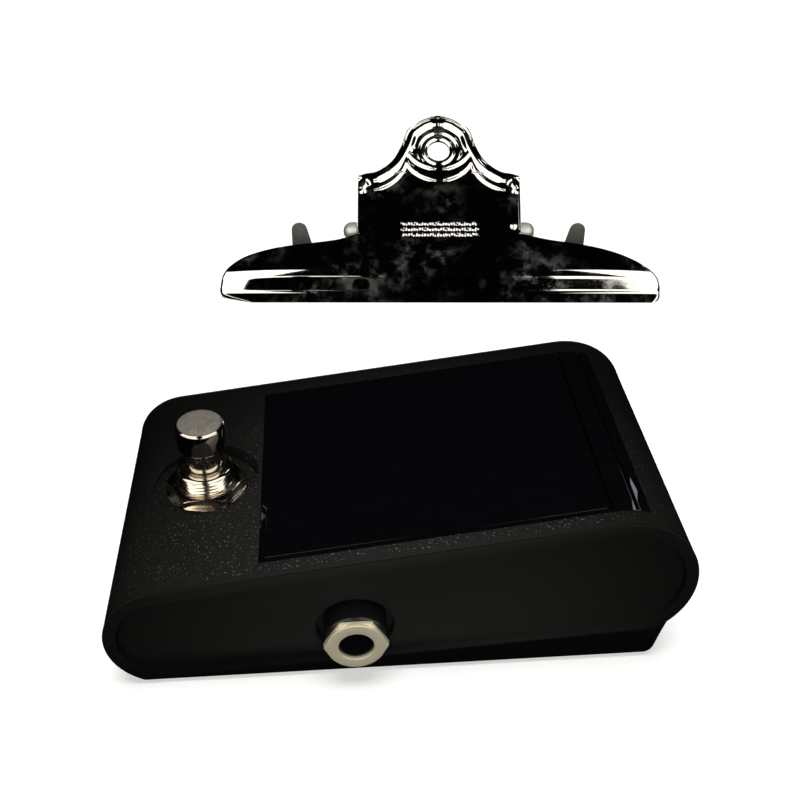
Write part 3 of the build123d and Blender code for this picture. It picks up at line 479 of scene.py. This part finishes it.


# Painted shade: a near-black band round either side, a hair proud of the housing's rounded edge, standing for
# the shadowed line under the top's edge
SHADOW_LINE_OUTER = 0.12
SHADOW_LINE_INNER = 0.55
SHADOW_LINE_SPREAD = (1.0007, 1, 1.003, 1)
shadow_lines = []
for side in (-1, 1):
    shadow_line = clean_copy("upper_housing", "housing_shadow_line")
    outer = side * (housing_high.y - SHADOW_LINE_OUTER * MM)
    inner = side * (housing_high.y - SHADOW_LINE_INNER * MM)
    keep_between(shadow_line, (((0, outer, 0), (0, side, 0)), ((0, inner, 0), (0, -side, 0))))
    shadow_lines.append(shadow_line)
join_pieces(*shadow_lines)
shadow_line_middle = (housing_low + housing_high) / 2
shadow_line_middle.y = 0
to_middle = Matrix.Translation(-shadow_line_middle)
shadow_lines[0].data.transform(to_middle.inverted() @ Matrix.Diagonal(SHADOW_LINE_SPREAD) @ to_middle)
finish_piece(shadow_lines[0], "tuner", shadow_line_black, "housing_black")
casing_piece("upper_housing", "housing_shell", 0.14, housing_black, "housing_black")
casing_piece("bottom_cover", "cover_shell", 0.15, cover_black, "cover_black")
casing_piece("rubber_sole", "sole_pad", 0.3, sole_rubber, "sole_rubber")
casing_piece("battery_door", "door_panel", 0.2, cover_black, "cover_black", "battery_door")
casing_piece("calibration_button", "calibration_cap", 0.12, button_black, "button_black", "calibration_button")
casing_piece("display_button", "display_cap", 0.12, button_black, "button_black", "display_button")

# The lens: a raised panel inside its rim, then a rounded bar at the display end between two grooves,
# each given by its distance from that end and its width
LENS_RIM = 1.15
LENS_STEP = 0.10
PANEL_END = 8.4
GROOVES = ((7.4, 0.5), (2.6, 0.4))
GROOVE_MARGIN = 0.8
GROOVE_MIDDLE = 0.4
GROOVE_HEIGHT = 2.2
lens_low, lens_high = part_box("display_window")
groove_length = lens_high.y - lens_low.y - 2 * GROOVE_MARGIN * MM
lens = clean_copy("display_window", "display_lens")
panel = clean_copy("display_window", "display_panel")
for groove_end, groove_width in GROOVES:
    bpy.ops.object.select_all(action="DESELECT")
    bpy.ops.mesh.primitive_cube_add(size=1)
    cutter = bpy.context.view_layer.objects.active
    cutter.data.transform(
        Matrix.Translation((lens_high.x - groove_end * MM, 0, lens_high.z - GROOVE_MIDDLE * MM))
        @ Matrix.Diagonal((groove_width * MM, groove_length, GROOVE_HEIGHT * MM, 1))
    )
    apply_modifier(lens, "groove", "BOOLEAN", operation="DIFFERENCE", solver="EXACT", object=cutter)
    bpy.data.objects.remove(cutter)
round_edges(lens, 0.12, segments=2)
finish_piece(lens, "tuner", window_black, "window_black", "display_window")
panel_cuts = (
    ((lens_low.x + LENS_RIM * MM, 0, 0), (-1, 0, 0)),
    ((lens_high.x - PANEL_END * MM, 0, 0), (1, 0, 0)),
    ((0, lens_low.y + LENS_RIM * MM, 0), (0, -1, 0)),
    ((0, lens_high.y - LENS_RIM * MM, 0), (0, 1, 0)),
)
keep_between(panel, panel_cuts)
panel.data.transform(Matrix.Translation((0, 0, LENS_STEP * MM)))
round_edges(panel, 0.09, segments=3)
finish_piece(panel, "tuner", window_black, "window_black")

# ---------------------------------------------------------------- footswitch
switch_low, switch_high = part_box("footswitch_washer")
switch_place = Matrix.Translation(
    ((switch_low.x + switch_high.x) / 2, (switch_low.y + switch_high.y) / 2, 0)
)


def heights(node):
    """Lowest and highest point of a node, in millimetres."""
    low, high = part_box(node)
    return low.z / MM, high.z / MM


washer_low, washer_high = heights("footswitch_washer")
nut_low, nut_high = heights("footswitch_nut")
bushing_low, bushing_high = heights("footswitch_bushing")
plunger_low, plunger_high = heights("footswitch_plunger")

WASHER_BORE = 6.05
WASHER_RADIUS = 8.8
SWITCH_NUT_FLATS = 15.0
SWITCH_NUT_FACE = 7.3
THREAD_CORE = 5.5
THREAD_CREST = 6.0
THREAD_PITCH = 0.85
THREAD_ROW = 0.07
THREAD_RUN_OUT = 0.3
BUSHING_BORE = 4.26
FLANGE_RADIUS = 7.9
FLANGE_HEIGHT = 1.5

washer = lathe(
    "switch_washer",
    [
        (WASHER_BORE, washer_low),
        (WASHER_RADIUS, washer_low),
        (WASHER_RADIUS, washer_high),
        (WASHER_BORE, washer_high),
        (WASHER_BORE, washer_low),
    ],
)
round_edges(washer, 0.12, segments=2)
washer.data.transform(switch_place)
finish_piece(washer, "tuner", switch_gold, "switch_gold", "footswitch_washer")

nut = hex_nut("switch_nut", SWITCH_NUT_FLATS, nut_low, nut_high, THREAD_CREST + 0.03, SWITCH_NUT_FACE)
nut.data.transform(switch_place)
finish_piece(nut, "tuner", switch_gold, "switch_gold", "footswitch_nut")

thread_low = nut_high - 0.4
thread_high = bushing_high - 0.55
thread_rows = int((thread_high - thread_low) / THREAD_ROW)
thread_outline = [
    (THREAD_CREST, thread_low + (thread_high - thread_low) * row / thread_rows)
    for row in range(thread_rows + 1)
]
bushing = lathe(
    "switch_bushing",
    [
        (BUSHING_BORE, bushing_low),
        (FLANGE_RADIUS, bushing_low),
        (FLANGE_RADIUS, bushing_low + FLANGE_HEIGHT),
        (THREAD_CREST, bushing_low + FLANGE_HEIGHT),
        *thread_outline,
        (THREAD_CREST - 0.1, bushing_high - 0.35),
        (THREAD_CREST - 0.45, bushing_high - 0.02),
        (THREAD_CREST - 0.8, bushing_high),
        (BUSHING_BORE + 0.25, bushing_high),
        (BUSHING_BORE, bushing_high - 0.25),
        (BUSHING_BORE, bushing_low),
    ],
)


def thread_cut(radius, angle, height):
    """Depth of the screw thread, run out at both ends."""
    turn = (height / THREAD_PITCH - angle / (2 * pi)) % 1.0
    groove = np.abs(2 * turn - 1) ** 0.8
    fade = np.clip((height - thread_low) / THREAD_RUN_OUT, 0, 1)
    fade *= np.clip((thread_high - height) / THREAD_RUN_OUT, 0, 1)
    threaded = (radius > THREAD_CREST - 0.01) & (height > thread_low) & (height < thread_high)
    return np.where(threaded, (THREAD_CORE - THREAD_CREST) * groove * fade, 0.0)


move_radially(bushing, thread_cut)
smooth(bushing, 50)
bushing.data.transform(switch_place)
finish_piece(bushing, "tuner", switch_gold, "switch_gold", "footswitch_bushing")

STEM = 4.2
CAP = 5.15
CAP_HEIGHT = 5.9
cap_low = plunger_high - CAP_HEIGHT
# Inside the bushing the plunger keeps its CAD shape; the turned stem and cap start here
stem_cut = bushing_high - 1.5
stem_end = clean_copy("footswitch_plunger", "stem_end")
keep_between(stem_end, [((0, 0, stem_cut * MM), (0, 0, 1))])
plunger = lathe(
    "switch_plunger",
    [
        (0, stem_cut),
        (STEM, stem_cut),
        (STEM, cap_low - 0.5),
        (STEM + 0.25, cap_low),
        (CAP - 0.3, cap_low),
        (CAP, cap_low + 0.3),
        (CAP + 0.05, cap_low + 2.6),
        (CAP, plunger_high - 0.95),
        (CAP - 0.12, plunger_high - 0.6),
        (CAP - 0.42, plunger_high - 0.24),
        (CAP - 0.85, plunger_high - 0.1),
        (2.6, plunger_high - 0.02),
        (0, plunger_high),
    ],
)
plunger.data.transform(switch_place)
join_pieces(plunger, stem_end)
smooth(plunger, 32)
finish_piece(plunger, "footswitch", plunger_chrome, "plunger_chrome", "footswitch_plunger")

# ---------------------------------------------------------------- jacks
COLLAR = 6.3
COLLAR_BORE = 4.4
COLLAR_DEPTH = 5.6
JACK_NUT_FLATS = 11.3
JACK_NUT_BORE = 4.0
JACK_NUT_DEPTH = 1.45
FACE_BORE = 3.55
FACE_DEPTH = 0.85
FACE_RADIUS = 5.85
FACE_TIP = 6.5


def pointed_face(low, high, bore):
    """The nut's front: a bored disc drawn out to a point at either side."""
    face = lathe(
        "face",
        [(bore, low), (FACE_RADIUS, low), (FACE_RADIUS, high), (bore, high), (bore, low)],
        steps=180,
    )
    points = points_of(face) / MM
    across, height = points[:, 0], np.abs(points[:, 1])
    touch = FACE_RADIUS**2 / FACE_TIP
    touch_height = sqrt(FACE_RADIUS**2 - touch**2)
    straight = FACE_TIP - height * (FACE_TIP - touch) / touch_height
    outer = (np.hypot(across, height) > FACE_RADIUS - 0.01) & (np.abs(across) > touch)
    points[:, 0] = np.where(outer, np.sign(across) * straight, across)
    set_points(face, points * MM)
    round_edges(face, 0.13, segments=3, angle=40)
    return face


for side, jack in ((-1, "input_jack"), (1, "output_jack")):
    jack_low, jack_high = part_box(jack + "_nut")
    faces = sorted((abs(jack_low.y) / MM, abs(jack_high.y) / MM))
    jack_place = Matrix.Translation(
        ((jack_low.x + jack_high.x) / 2, 0, (jack_low.z + jack_high.z) / 2)
    ) @ Matrix.Rotation(-side * pi / 2, 4, "X")
    nut_back = faces[1] - JACK_NUT_DEPTH
    nut_front = faces[1] - FACE_DEPTH + 0.1
    jack_nut = hex_nut(jack + "_hexagon", JACK_NUT_FLATS, nut_back, nut_front, JACK_NUT_BORE, COLLAR)
    join_pieces(jack_nut, pointed_face(faces[1] - FACE_DEPTH, faces[1], FACE_BORE))
    jack_nut.data.transform(jack_place)
    finish_piece(jack_nut, "tuner", jack_nickel, "jack_nickel", jack + "_nut")
    sleeve = lathe(
        jack + "_collar",
        [
            (COLLAR_BORE, nut_back - 0.05),
            (COLLAR - 0.1, nut_back - 0.05),
            (COLLAR + 0.2, nut_back - 0.35),
            (COLLAR + 0.2, faces[0] - COLLAR_DEPTH),
            (COLLAR + 0.1, faces[0] - COLLAR_DEPTH),
            (COLLAR + 0.1, faces[0] + 0.1),
            (COLLAR_BORE, faces[0] + 0.1),
            (COLLAR_BORE, nut_back - 0.05),
        ],
    )
    smooth(sleeve, 40)
    sleeve.data.transform(jack_place)
    finish_piece(sleeve, "tuner", jack_black, "jack_black")

# ---------------------------------------------------------------- board clip
rivet_left = Vector(MOUNTS["clip_rivet_hole_left"]["pos_m"])
rivet_right = Vector(MOUNTS["clip_rivet_hole_right"]["pos_m"])
RIVET_V = 33.5
clip_u = (rivet_right - rivet_left).normalized()
clip_v = Vector((-clip_u.y, clip_u.x, 0))
clip_origin = (rivet_left + rivet_right) / 2 - RIVET_V * MM * clip_v
clip_origin.z = 0
# Clip frame: x is u along the jaw, y is v away from the tuner, z is up
clip_place = Matrix.Translation(clip_origin) @ Matrix.Rotation(atan2(clip_u.y, clip_u.x), 4, "Z")

SHEET = 1.0
RISE = radians(38)
BEND = (17.0, 14.5)
REACH = 45.3
HOLE_REACH = 32.3
HOLE = 3.75
HALF_LEVER = 27.0
CROWN = 12.0
# Rows of the sheet's grid are this far apart on the jaw and on the lever, and crowd at the crown
JAW_ROW = 0.36
LEVER_ROW = 0.31
CROWN_SPAN = 2.4
CROWN_ROWS = 14
# The grid's last columns to either side are closer, for the rolled rim
COLUMNS = 176
RIM_SHARE = 0.975
RIM_STEPS = 6
RIM_ROLL = 1.3
SIDE_ROLL = 1.1
# The jaw's ends droop by this share of their height, over this stretch of their half width
DROOP = 0.12
DROOP_START = 42.0
DROOP_LENGTH = 29.5
# Share of the pressed pattern that shows on the sheet's inside
INSIDE_SHARE = 0.72
ROD = (24.5, 13.4)
# Side view of the outer face, (v, w): flared lip, steep front, roll, shelf, lever
SIDE_VIEW = [
    (0.2, 0.0),
    (3.0, 2.3),
    (5.2, 9.4),
    BEND,
    (BEND[0] + REACH * cos(RISE), BEND[1] + REACH * sin(RISE)),
]
SIDE_RADII = [2.2, 6.0, 2.5]
# Half width of the jaw over v to either side, and of the lever over the distance up its slope
JAW_LEFT = [
    (-1.0, 58.0),
    (0.6, 63.5),
    (1.9, 69.0),
    (2.9, 71.3),
    (4.0, 71.0),
    (7.0, 69.0),
    (9.5, 66.3),
    (11.3, 63.0),
    (13.0, 57.5),
    (14.3, 50.5),
    (15.6, 40.5),
    (17.0, 32.0),
    (18.5, 27.0),
]
JAW_RIGHT = [
    (-1.0, 68.0),
    (0.6, 70.2),
    (1.9, 71.3),
    (2.9, 71.5),
    (4.0, 71.1),
    (7.0, 67.6),
    (9.5, 64.0),
    (12.0, 58.6),
    (14.0, 51.5),
    (15.6, 43.0),
    (17.0, 34.0),
    (18.5, 27.0),
]
LEVER_OUTLINE = [
    (0.0, 27.0),
    (20.6, 27.0),
    (22.6, 26.6),
    (23.7, 24.6),
    (24.6, 20.6),
    (28.4, 15.7),
    (34.2, 12.5),
    (39.5, 10.6),
    (42.0, 8.27),
    (43.1, 6.75),
]


def curve_through(points):
    """Points of a smooth curve through the given ones, 24 to a span."""
    knots = np.array([points[0], *points, points[-1]], dtype=float)
    steps = np.linspace(0, 1, 24, endpoint=False)[:, None]
    spans = []
    for before, start, end, after in zip(knots, knots[1:], knots[2:], knots[3:]):
        spans.append(
            start
            + 0.5 * steps * (end - before)
            + steps**2 * (before - 2.5 * start + 2 * end - 0.5 * after)
            + steps**3 * (1.5 * start - 0.5 * before - 1.5 * end + 0.5 * after)
        )
    return np.vstack([*spans, knots[-1:]])


def filleted_path(corners, radii):
    """Points 0.02 mm apart on straight runs joined by arcs, with the distance along the path."""
    points = [np.array(corners[0])]
    for corner, before, after, radius in zip(corners[1:], corners, corners[2:], radii):
        corner, before, after = (np.array(place) for place in (corner, before, after))
        back = (before - corner) / np.linalg.norm(before - corner)
        ahead = (after - corner) / np.linalg.norm(after - corner)
        half = acos(float(back @ ahead)) / 2
        centre = corner + (back + ahead) / np.linalg.norm(back + ahead) * radius / sin(half)
        first, last = corner + back * radius / tan(half), corner + ahead * radius / tan(half)
        for share in np.linspace(0, 1, 40):
            chord = first + (last - first) * share - centre
            points.append(centre + chord / np.linalg.norm(chord) * radius)
    points.append(np.array(corners[-1]))
    points = np.array(points)
    lengths = np.r_[0, np.cumsum(np.linalg.norm(np.diff(points, axis=0), axis=1))]
    places = np.arange(0, lengths[-1], 0.02)
    return places, np.stack([np.interp(places, lengths, points[:, axis]) for axis in (0, 1)], axis=1)


def bead(distance, middle, half, height):
    """Height of a soft round bead that follows a line of equal distance."""
    share = np.clip(np.abs(distance - middle) / half, 0, 1)
    return height * (1 + np.cos(pi * share)) / 2


# Arcs that end the embossed head: place across, place up the slope, radius
SCALLOPS = [(0.0, 33.5, 13.1), (-24.0, 31.0, 14.3), (24.0, 31.0, 14.3)]
SCALLOP_SHIFT = 4.2
HEAD_START = 20.0
# Beads as middle, half width and height
EDGE_BEAD = (2.3, 2.2, 1.15)
SCALLOP_BEAD = (1.15, 1.2, 0.75)
RING_BEADS = ((4.7, 1.1, 0.6), (7.0, 1.2, 0.6))
SHOULDER_STUDS = ((-24.9, 21.6), (24.9, 21.6), (-25.2, 17.7), (25.2, 17.7))
STUD_BEAD = (0.0, 1.6, 0.8)
# The knurled strip: half width, start and end up the slope, pitch across and up, height
KNURL_HALF = 12.7
KNURL_SPAN = (0.6, 6.4)
KNURL_PITCH = (1.75, 1.95)
KNURL_HEIGHT = 0.55


def above_scallops(u, s, shift):
    """Distance above the three arcs that end the embossed head."""
    return np.max([radius - np.hypot(u - x, s - shift - y) for x, y, radius in SCALLOPS], axis=0)


def lever_relief(u, s, outline):
    """Height of the pressed pattern on the lever."""
    edge = np.full(u.shape, 99.0)
    for place_s, place_u in outline:
        edge = np.minimum(edge, np.hypot(np.abs(u) - place_u, s - place_s))
    ring = np.hypot(u, s - HOLE_REACH)
    lower = above_scallops(u, s, 0.0)
    upper = above_scallops(u, s, SCALLOP_SHIFT)
    head = np.where(upper > 1.0, 1.0, 0.0)
    relief = np.maximum(
        bead(edge, *EDGE_BEAD) * np.clip(lower, 0, 1),
        np.maximum(bead(lower, *SCALLOP_BEAD), bead(upper, *SCALLOP_BEAD)),
    )
    for ring_bead in RING_BEADS:
        relief = np.maximum(relief, bead(ring, *ring_bead) * head)
    for x, y in SHOULDER_STUDS:
        relief = np.maximum(relief, bead(np.hypot(u - x, s - y), *STUD_BEAD))
    # A small boss low on the right, and a small dent left of the hanging hole
    relief = np.maximum(relief, bead(np.hypot(u - 24.3, (s - 5.0) / 1.6), 0.0, 1.5, 0.5))
    relief -= bead(np.hypot(u + 8.2, s - 33.2), 0.0, 0.55, 0.35)
    knurl = np.abs(np.sin(pi * u / KNURL_PITCH[0])) ** 0.7
    knurl *= np.abs(np.sin(pi * (s - KNURL_SPAN[0]) / KNURL_PITCH[1]))
    knurl *= 0.7 + 0.3 * np.sin(2.7 * u + 5.0 * s)
    strip = (np.abs(u) < KNURL_HALF) & (s > KNURL_SPAN[0]) & (s < KNURL_SPAN[1])
    return relief + KNURL_HEIGHT * knurl * strip


def make_lever():
    """The lever and jaw, pressed from one sheet."""
    along, path = filleted_path(SIDE_VIEW, SIDE_RADII)
    bend_at = along[np.argmin(np.hypot(path[:, 0] - BEND[0], path[:, 1] - BEND[1]))]
    rows = np.r_[
        np.arange(0, bend_at, JAW_ROW),
        bend_at + np.arange(0, REACH - CROWN_SPAN, LEVER_ROW),
        bend_at + REACH - CROWN_SPAN * (1 - np.linspace(0, 1, CROWN_ROWS)) ** 2,
    ]
    rows = np.minimum(rows, along[-1])
    v = np.interp(rows, along, path[:, 0])
    w = np.interp(rows, along, path[:, 1])
    tangent = np.gradient(path, axis=0)
    tangent /= np.linalg.norm(tangent, axis=1)[:, None]
    out_v = np.interp(rows, along, -tangent[:, 1])
    out_w = np.interp(rows, along, tangent[:, 0])
    crown_rise = np.linspace(43.4, REACH - 0.01, 60)
    crown_half = np.sqrt(CROWN**2 - (crown_rise - REACH + CROWN) ** 2)
    lever = np.vstack([curve_through(LEVER_OUTLINE), np.stack([crown_rise, crown_half], axis=1)])
    slope = rows - bend_at
    rim = np.linspace(RIM_SHARE, 1, RIM_STEPS + 1)
    across = np.r_[-rim[:0:-1], np.linspace(-RIM_SHARE, RIM_SHARE, COLUMNS - 2 * RIM_STEPS + 1), rim[1:]]
    halves = []
    for outline in (curve_through(JAW_LEFT), curve_through(JAW_RIGHT)):
        jaw_half = np.interp(v, outline[:, 0], outline[:, 1])
        halves.append(np.where(v < JAW_LEFT[-1][0], jaw_half, np.interp(slope, lever[:, 0], lever[:, 1])))
    half = np.where(across[None, :] < 0, halves[0][:, None], halves[1][:, None])
    u = half * across[None, :]
    s = np.broadcast_to(slope[:, None], u.shape)
    bpy.ops.object.select_all(action="DESELECT")
    bpy.ops.mesh.primitive_grid_add(x_subdivisions=COLUMNS, y_subdivisions=len(rows) - 1, size=1)
    piece = bpy.context.view_layer.objects.active
    piece.name = "clip_lever_plate"
    reach = np.clip((np.abs(u) - DROOP_START) / DROOP_LENGTH, 0, 1)
    low_w = w[:, None] * (1 - DROOP * reach**2)
    base = np.stack([u, np.broadcast_to(v[:, None], u.shape), low_w], axis=-1)
    set_points(piece, base * MM)
    relief = lever_relief(u, s, lever[lever[:, 0] > HEAD_START])
    relief = np.where(s > 0.5, relief, 0.0)
    # The plate's sides roll down into the flanges
    over = np.clip(np.abs(u) - (HALF_LEVER - SIDE_ROLL), 0, SIDE_ROLL)
    drop = SIDE_ROLL - np.sqrt(np.maximum(SIDE_ROLL**2 - over**2, 0))
    relief -= drop * np.clip((s - 1.0) / 2.0, 0, 1) * np.clip((21.5 - s) / 2.0, 0, 1)
    # The jaw's rim is rolled under all round
    over = np.clip(np.abs(u) - (half - RIM_ROLL), 0, RIM_ROLL)
    relief -= (RIM_ROLL - np.sqrt(RIM_ROLL**2 - over**2)) * np.clip(-s / 3.0, 0, 1)
    shift = np.stack(
        [
            np.zeros(u.shape),
            relief * out_v[:, None],
            relief * out_w[:, None],
        ],
        axis=-1,
    ).reshape(-1, 3)
    apply_modifier(piece, "sheet", "SOLIDIFY", thickness=SHEET * MM, offset=-1.0)
    points = points_of(piece)
    count = len(shift)
    points[:count] += shift * MM
    points[count : 2 * count] += shift * MM * INSIDE_SHARE
    set_points(piece, points)
    # Hanging hole
    hole = np.array([0.0, BEND[0] + HOLE_REACH * cos(RISE), BEND[1] + HOLE_REACH * sin(RISE)]) * MM
    axis = np.array([0.0, -sin(RISE), cos(RISE)])
    bpy.ops.mesh.primitive_cylinder_add(vertices=96, radius=HOLE * MM, depth=12 * MM)
    drill = bpy.context.view_layer.objects.active
    drill.data.transform(Matrix.Translation(Vector(hole)) @ Matrix.Rotation(RISE, 4, "X"))
    apply_modifier(piece, "hole", "BOOLEAN", operation="DIFFERENCE", solver="EXACT", object=drill)
    bpy.data.objects.remove(drill)
    return piece


def make_flange(side):
    """A side flange that hangs from the lever and carries the rod."""
    parts = []
    for v, w, radius in ((*ROD, 4.2), (19.0, 14.9, 0.5), (33.0, 26.2, 0.5)):
        bpy.ops.object.select_all(action="DESELECT")
        bpy.ops.mesh.primitive_cylinder_add(vertices=48, radius=radius * MM, depth=SHEET * MM)
        part = bpy.context.view_layer.objects.active
        middle = side * (HALF_LEVER - SHEET / 2)
        part.data.transform(
            Matrix.Translation((middle * MM, v * MM, w * MM)) @ Matrix.Rotation(pi / 2, 4, "Y")
        )
        parts.append(part)
    for part in parts:
        part.select_set(True)
    bpy.context.view_layer.objects.active = parts[0]
    bpy.ops.object.join()
    flange = bpy.context.view_layer.objects.active
    bpy.ops.object.mode_set(mode="EDIT")
    bpy.ops.mesh.select_all(action="SELECT")
    bpy.ops.mesh.convex_hull()
    bpy.ops.mesh.select_all(action="SELECT")
    bpy.ops.mesh.dissolve_limited(angle_limit=radians(0.5))
    bpy.ops.object.mode_set(mode="OBJECT")
    round_edges(flange, 0.2, segments=2, angle=50)
    return flange


lever = make_lever()
flanges = [make_flange(side) for side in (-1, 1)]
smooth(lever, 50)
join_pieces(lever, *flanges)
lever.data.transform(clip_place)
finish_piece(lever, "clip_lever", clip_chrome, "clip_chrome", "clip_lever")

for node, name, edge, steel in (
    ("clip_base_plate", "clip_plate", 0.2, clip_steel),
    ("clip_rod_ears", "clip_ears", 0.2, clip_steel),
    ("clip_paper_stops", "clip_stops", 0.25, stop_steel),
):
    part = clean_copy(node, name)
    round_edges(part, edge, segments=2)
    finish_piece(part, "clip_base", steel, "clip_steel", node)

ROD_RADIUS = 1.5
ROD_END = HALF_LEVER + 0.35
rod_half = [
    (ROD_RADIUS, 0),
    (ROD_RADIUS, ROD_END),
    (2.6, ROD_END),
    (3.0, ROD_END + 0.5),
    (3.0, ROD_END + 1.9),
    (2.75, ROD_END + 2.9),
    (2.2, ROD_END + 3.7),
    (1.3, ROD_END + 4.3),
    (0, ROD_END + 4.55),
]
rod = lathe("clip_rod", [(radius, -reach) for radius, reach in reversed(rod_half)] + rod_half[1:], 64)
smooth(rod, 40)
rod.data.transform(
    clip_place @ Matrix.Translation((0, ROD[0] * MM, ROD[1] * MM)) @ Matrix.Rotation(pi / 2, 4, "Y")
)
finish_piece(rod, "clip_base", rod_nickel, "rod_nickel", "clip_pivot_rod")

coil = clean_copy("clip_spring", "clip_coil")
smooth(coil, 40)
finish_piece(coil, "clip_base", spring_steel, "spring_steel", "clip_spring")


# ---------------------------------------------------------------- studio
def studio_surface(piece, name, colour, glow):
    """A stage surface that the camera sees and the object doesn't mirror."""
    material = bpy.data.materials.new(name)
    material.use_nodes = True
    shader = material.node_tree.nodes["Principled BSDF"]
    shader.inputs["Base Color"].default_value = (*colour, 1)
    shader.inputs["Roughness"].default_value = 0.9
    shader.inputs["Specular IOR Level"].default_value = 0.0
    shader.inputs["Emission Color"].default_value = (1, 1, 1, 1)
    shader.inputs["Emission Strength"].default_value = glow
    piece.data.materials.append(material)
    piece.visible_glossy = False
    piece.visible_diffuse = False


FLOOR_RADIUS = 0.55
FLOOR_PLACE = (0, 0.05, -0.00005)
BACKDROP_RADIUS = 3.9
bpy.ops.mesh.primitive_circle_add(
    vertices=96, radius=FLOOR_RADIUS, fill_type="NGON", location=FLOOR_PLACE
)
floor = bpy.context.view_layer.objects.active
floor.name = "floor"
studio_surface(floor, "floor_white", (0.85, 0.85, 0.85), 0.3)
bpy.ops.mesh.primitive_uv_sphere_add(segments=48, ring_count=24, radius=BACKDROP_RADIUS)
backdrop = bpy.context.view_layer.objects.active
backdrop.name = "backdrop"
studio_surface(backdrop, "backdrop_white", (0.0, 0.0, 0.0), 1.0)
backdrop.visible_shadow = False

world = bpy.data.worlds.new("studio")
bpy.context.scene.world = world
world.use_nodes = True
world.node_tree.nodes["Background"].inputs["Color"].default_value = (0.0008, 0.0008, 0.001, 1)
world.node_tree.nodes["Background"].inputs["Strength"].default_value = 1.0
bpy.context.scene.view_settings.view_transform = "Standard"

VIEW_TURN = -4.585
VIEW_RISE = 35.174
VIEW_ROLL = 0.33
VIEW_TARGET = Vector((0.00707, 0.06354, 0.0))
VIEW_DISTANCE = 0.30455
VIEW_LENS = 48.645


def direction(turn, rise):
    """Unit vector from the object, turned to the right of the front and risen, in degrees."""
    turn, rise = radians(turn), radians(rise)
    return Vector((sin(turn) * cos(rise), -cos(turn) * cos(rise), sin(rise)))


def panel_light(name, place, facing, width, height, radiance, colour, mirrored):
    """A rectangular light seen either by bright metal alone or by matt surfaces alone."""
    light = bpy.data.lights.new(name, "AREA")
    light.shape = "RECTANGLE"
    light.size = width
    light.size_y = height
    light.energy = radiance * pi * width * height
    light.color = colour
    lamp = bpy.data.objects.new(name, light)
    bpy.context.collection.objects.link(lamp)
    lamp.location = place
    lamp.rotation_euler = facing.to_track_quat("Z", "Y").to_euler()
    lamp.visible_camera = False
    lamp.visible_glossy = mirrored
    lamp.visible_diffuse = not mirrored


WARM = (1.0, 0.965, 0.88)
NEUTRAL = (1.0, 0.99, 0.96)
LIGHT_DISTANCE = 2.0


def wall_light(name, turns, rises, radiance, colour=WARM, mirrored=True):
    """An upright panel that fills a range of directions round the object, in degrees."""
    low, high = (LIGHT_DISTANCE * tan(radians(rise)) for rise in rises)
    width = 2 * LIGHT_DISTANCE * tan(radians(turns[1] - turns[0]) / 2)
    facing = direction(sum(turns) / 2, 0)
    place = VIEW_TARGET + facing * LIGHT_DISTANCE + Vector((0, 0, (low + high) / 2))
    panel_light(name, place, facing, width, high - low, radiance, colour, mirrored)


wall_light("left_sill", (-85, -6), (8, 21), 1.5)
wall_light("right_sill", (6, 80), (8, 21), 1.5)
wall_light("left_window", (-82, -13), (21, 60), 1.5)
wall_light("right_window", (13, 82), (21, 60), 1.5)
wall_light("display_streak", (129, 134), (38, 54), 3.5, (0.9, 0.95, 1.0))
wall_light("front_fill", (-25, 25), (10, 50), 4.5, NEUTRAL, False)
OVERHEAD_SIZE = 1.5
overhead = VIEW_TARGET + Vector((0, 0, LIGHT_DISTANCE))
overhead_facing = Vector((0, 0, 1))
panel_light(
    "overhead_fill", overhead, overhead_facing, OVERHEAD_SIZE, OVERHEAD_SIZE, 5.5, NEUTRAL, False
)

back = direction(VIEW_TURN, VIEW_RISE)
right = Vector((cos(radians(VIEW_TURN)), sin(radians(VIEW_TURN)), 0))
up = back.cross(right)
roll = radians(VIEW_ROLL)
camera_right = cos(roll) * right + sin(roll) * up
camera_up = cos(roll) * up - sin(roll) * right
camera = bpy.data.objects.new("camera", bpy.data.cameras.new("camera"))
bpy.context.collection.objects.link(camera)
camera.data.lens = VIEW_LENS
camera.data.sensor_width = 36.0
camera.data.clip_start = 0.01
camera.matrix_world = Matrix.Translation(VIEW_TARGET + back * VIEW_DISTANCE) @ Matrix(
    (camera_right, camera_up, back)
).transposed().to_4x4()
bpy.context.scene.camera = camera
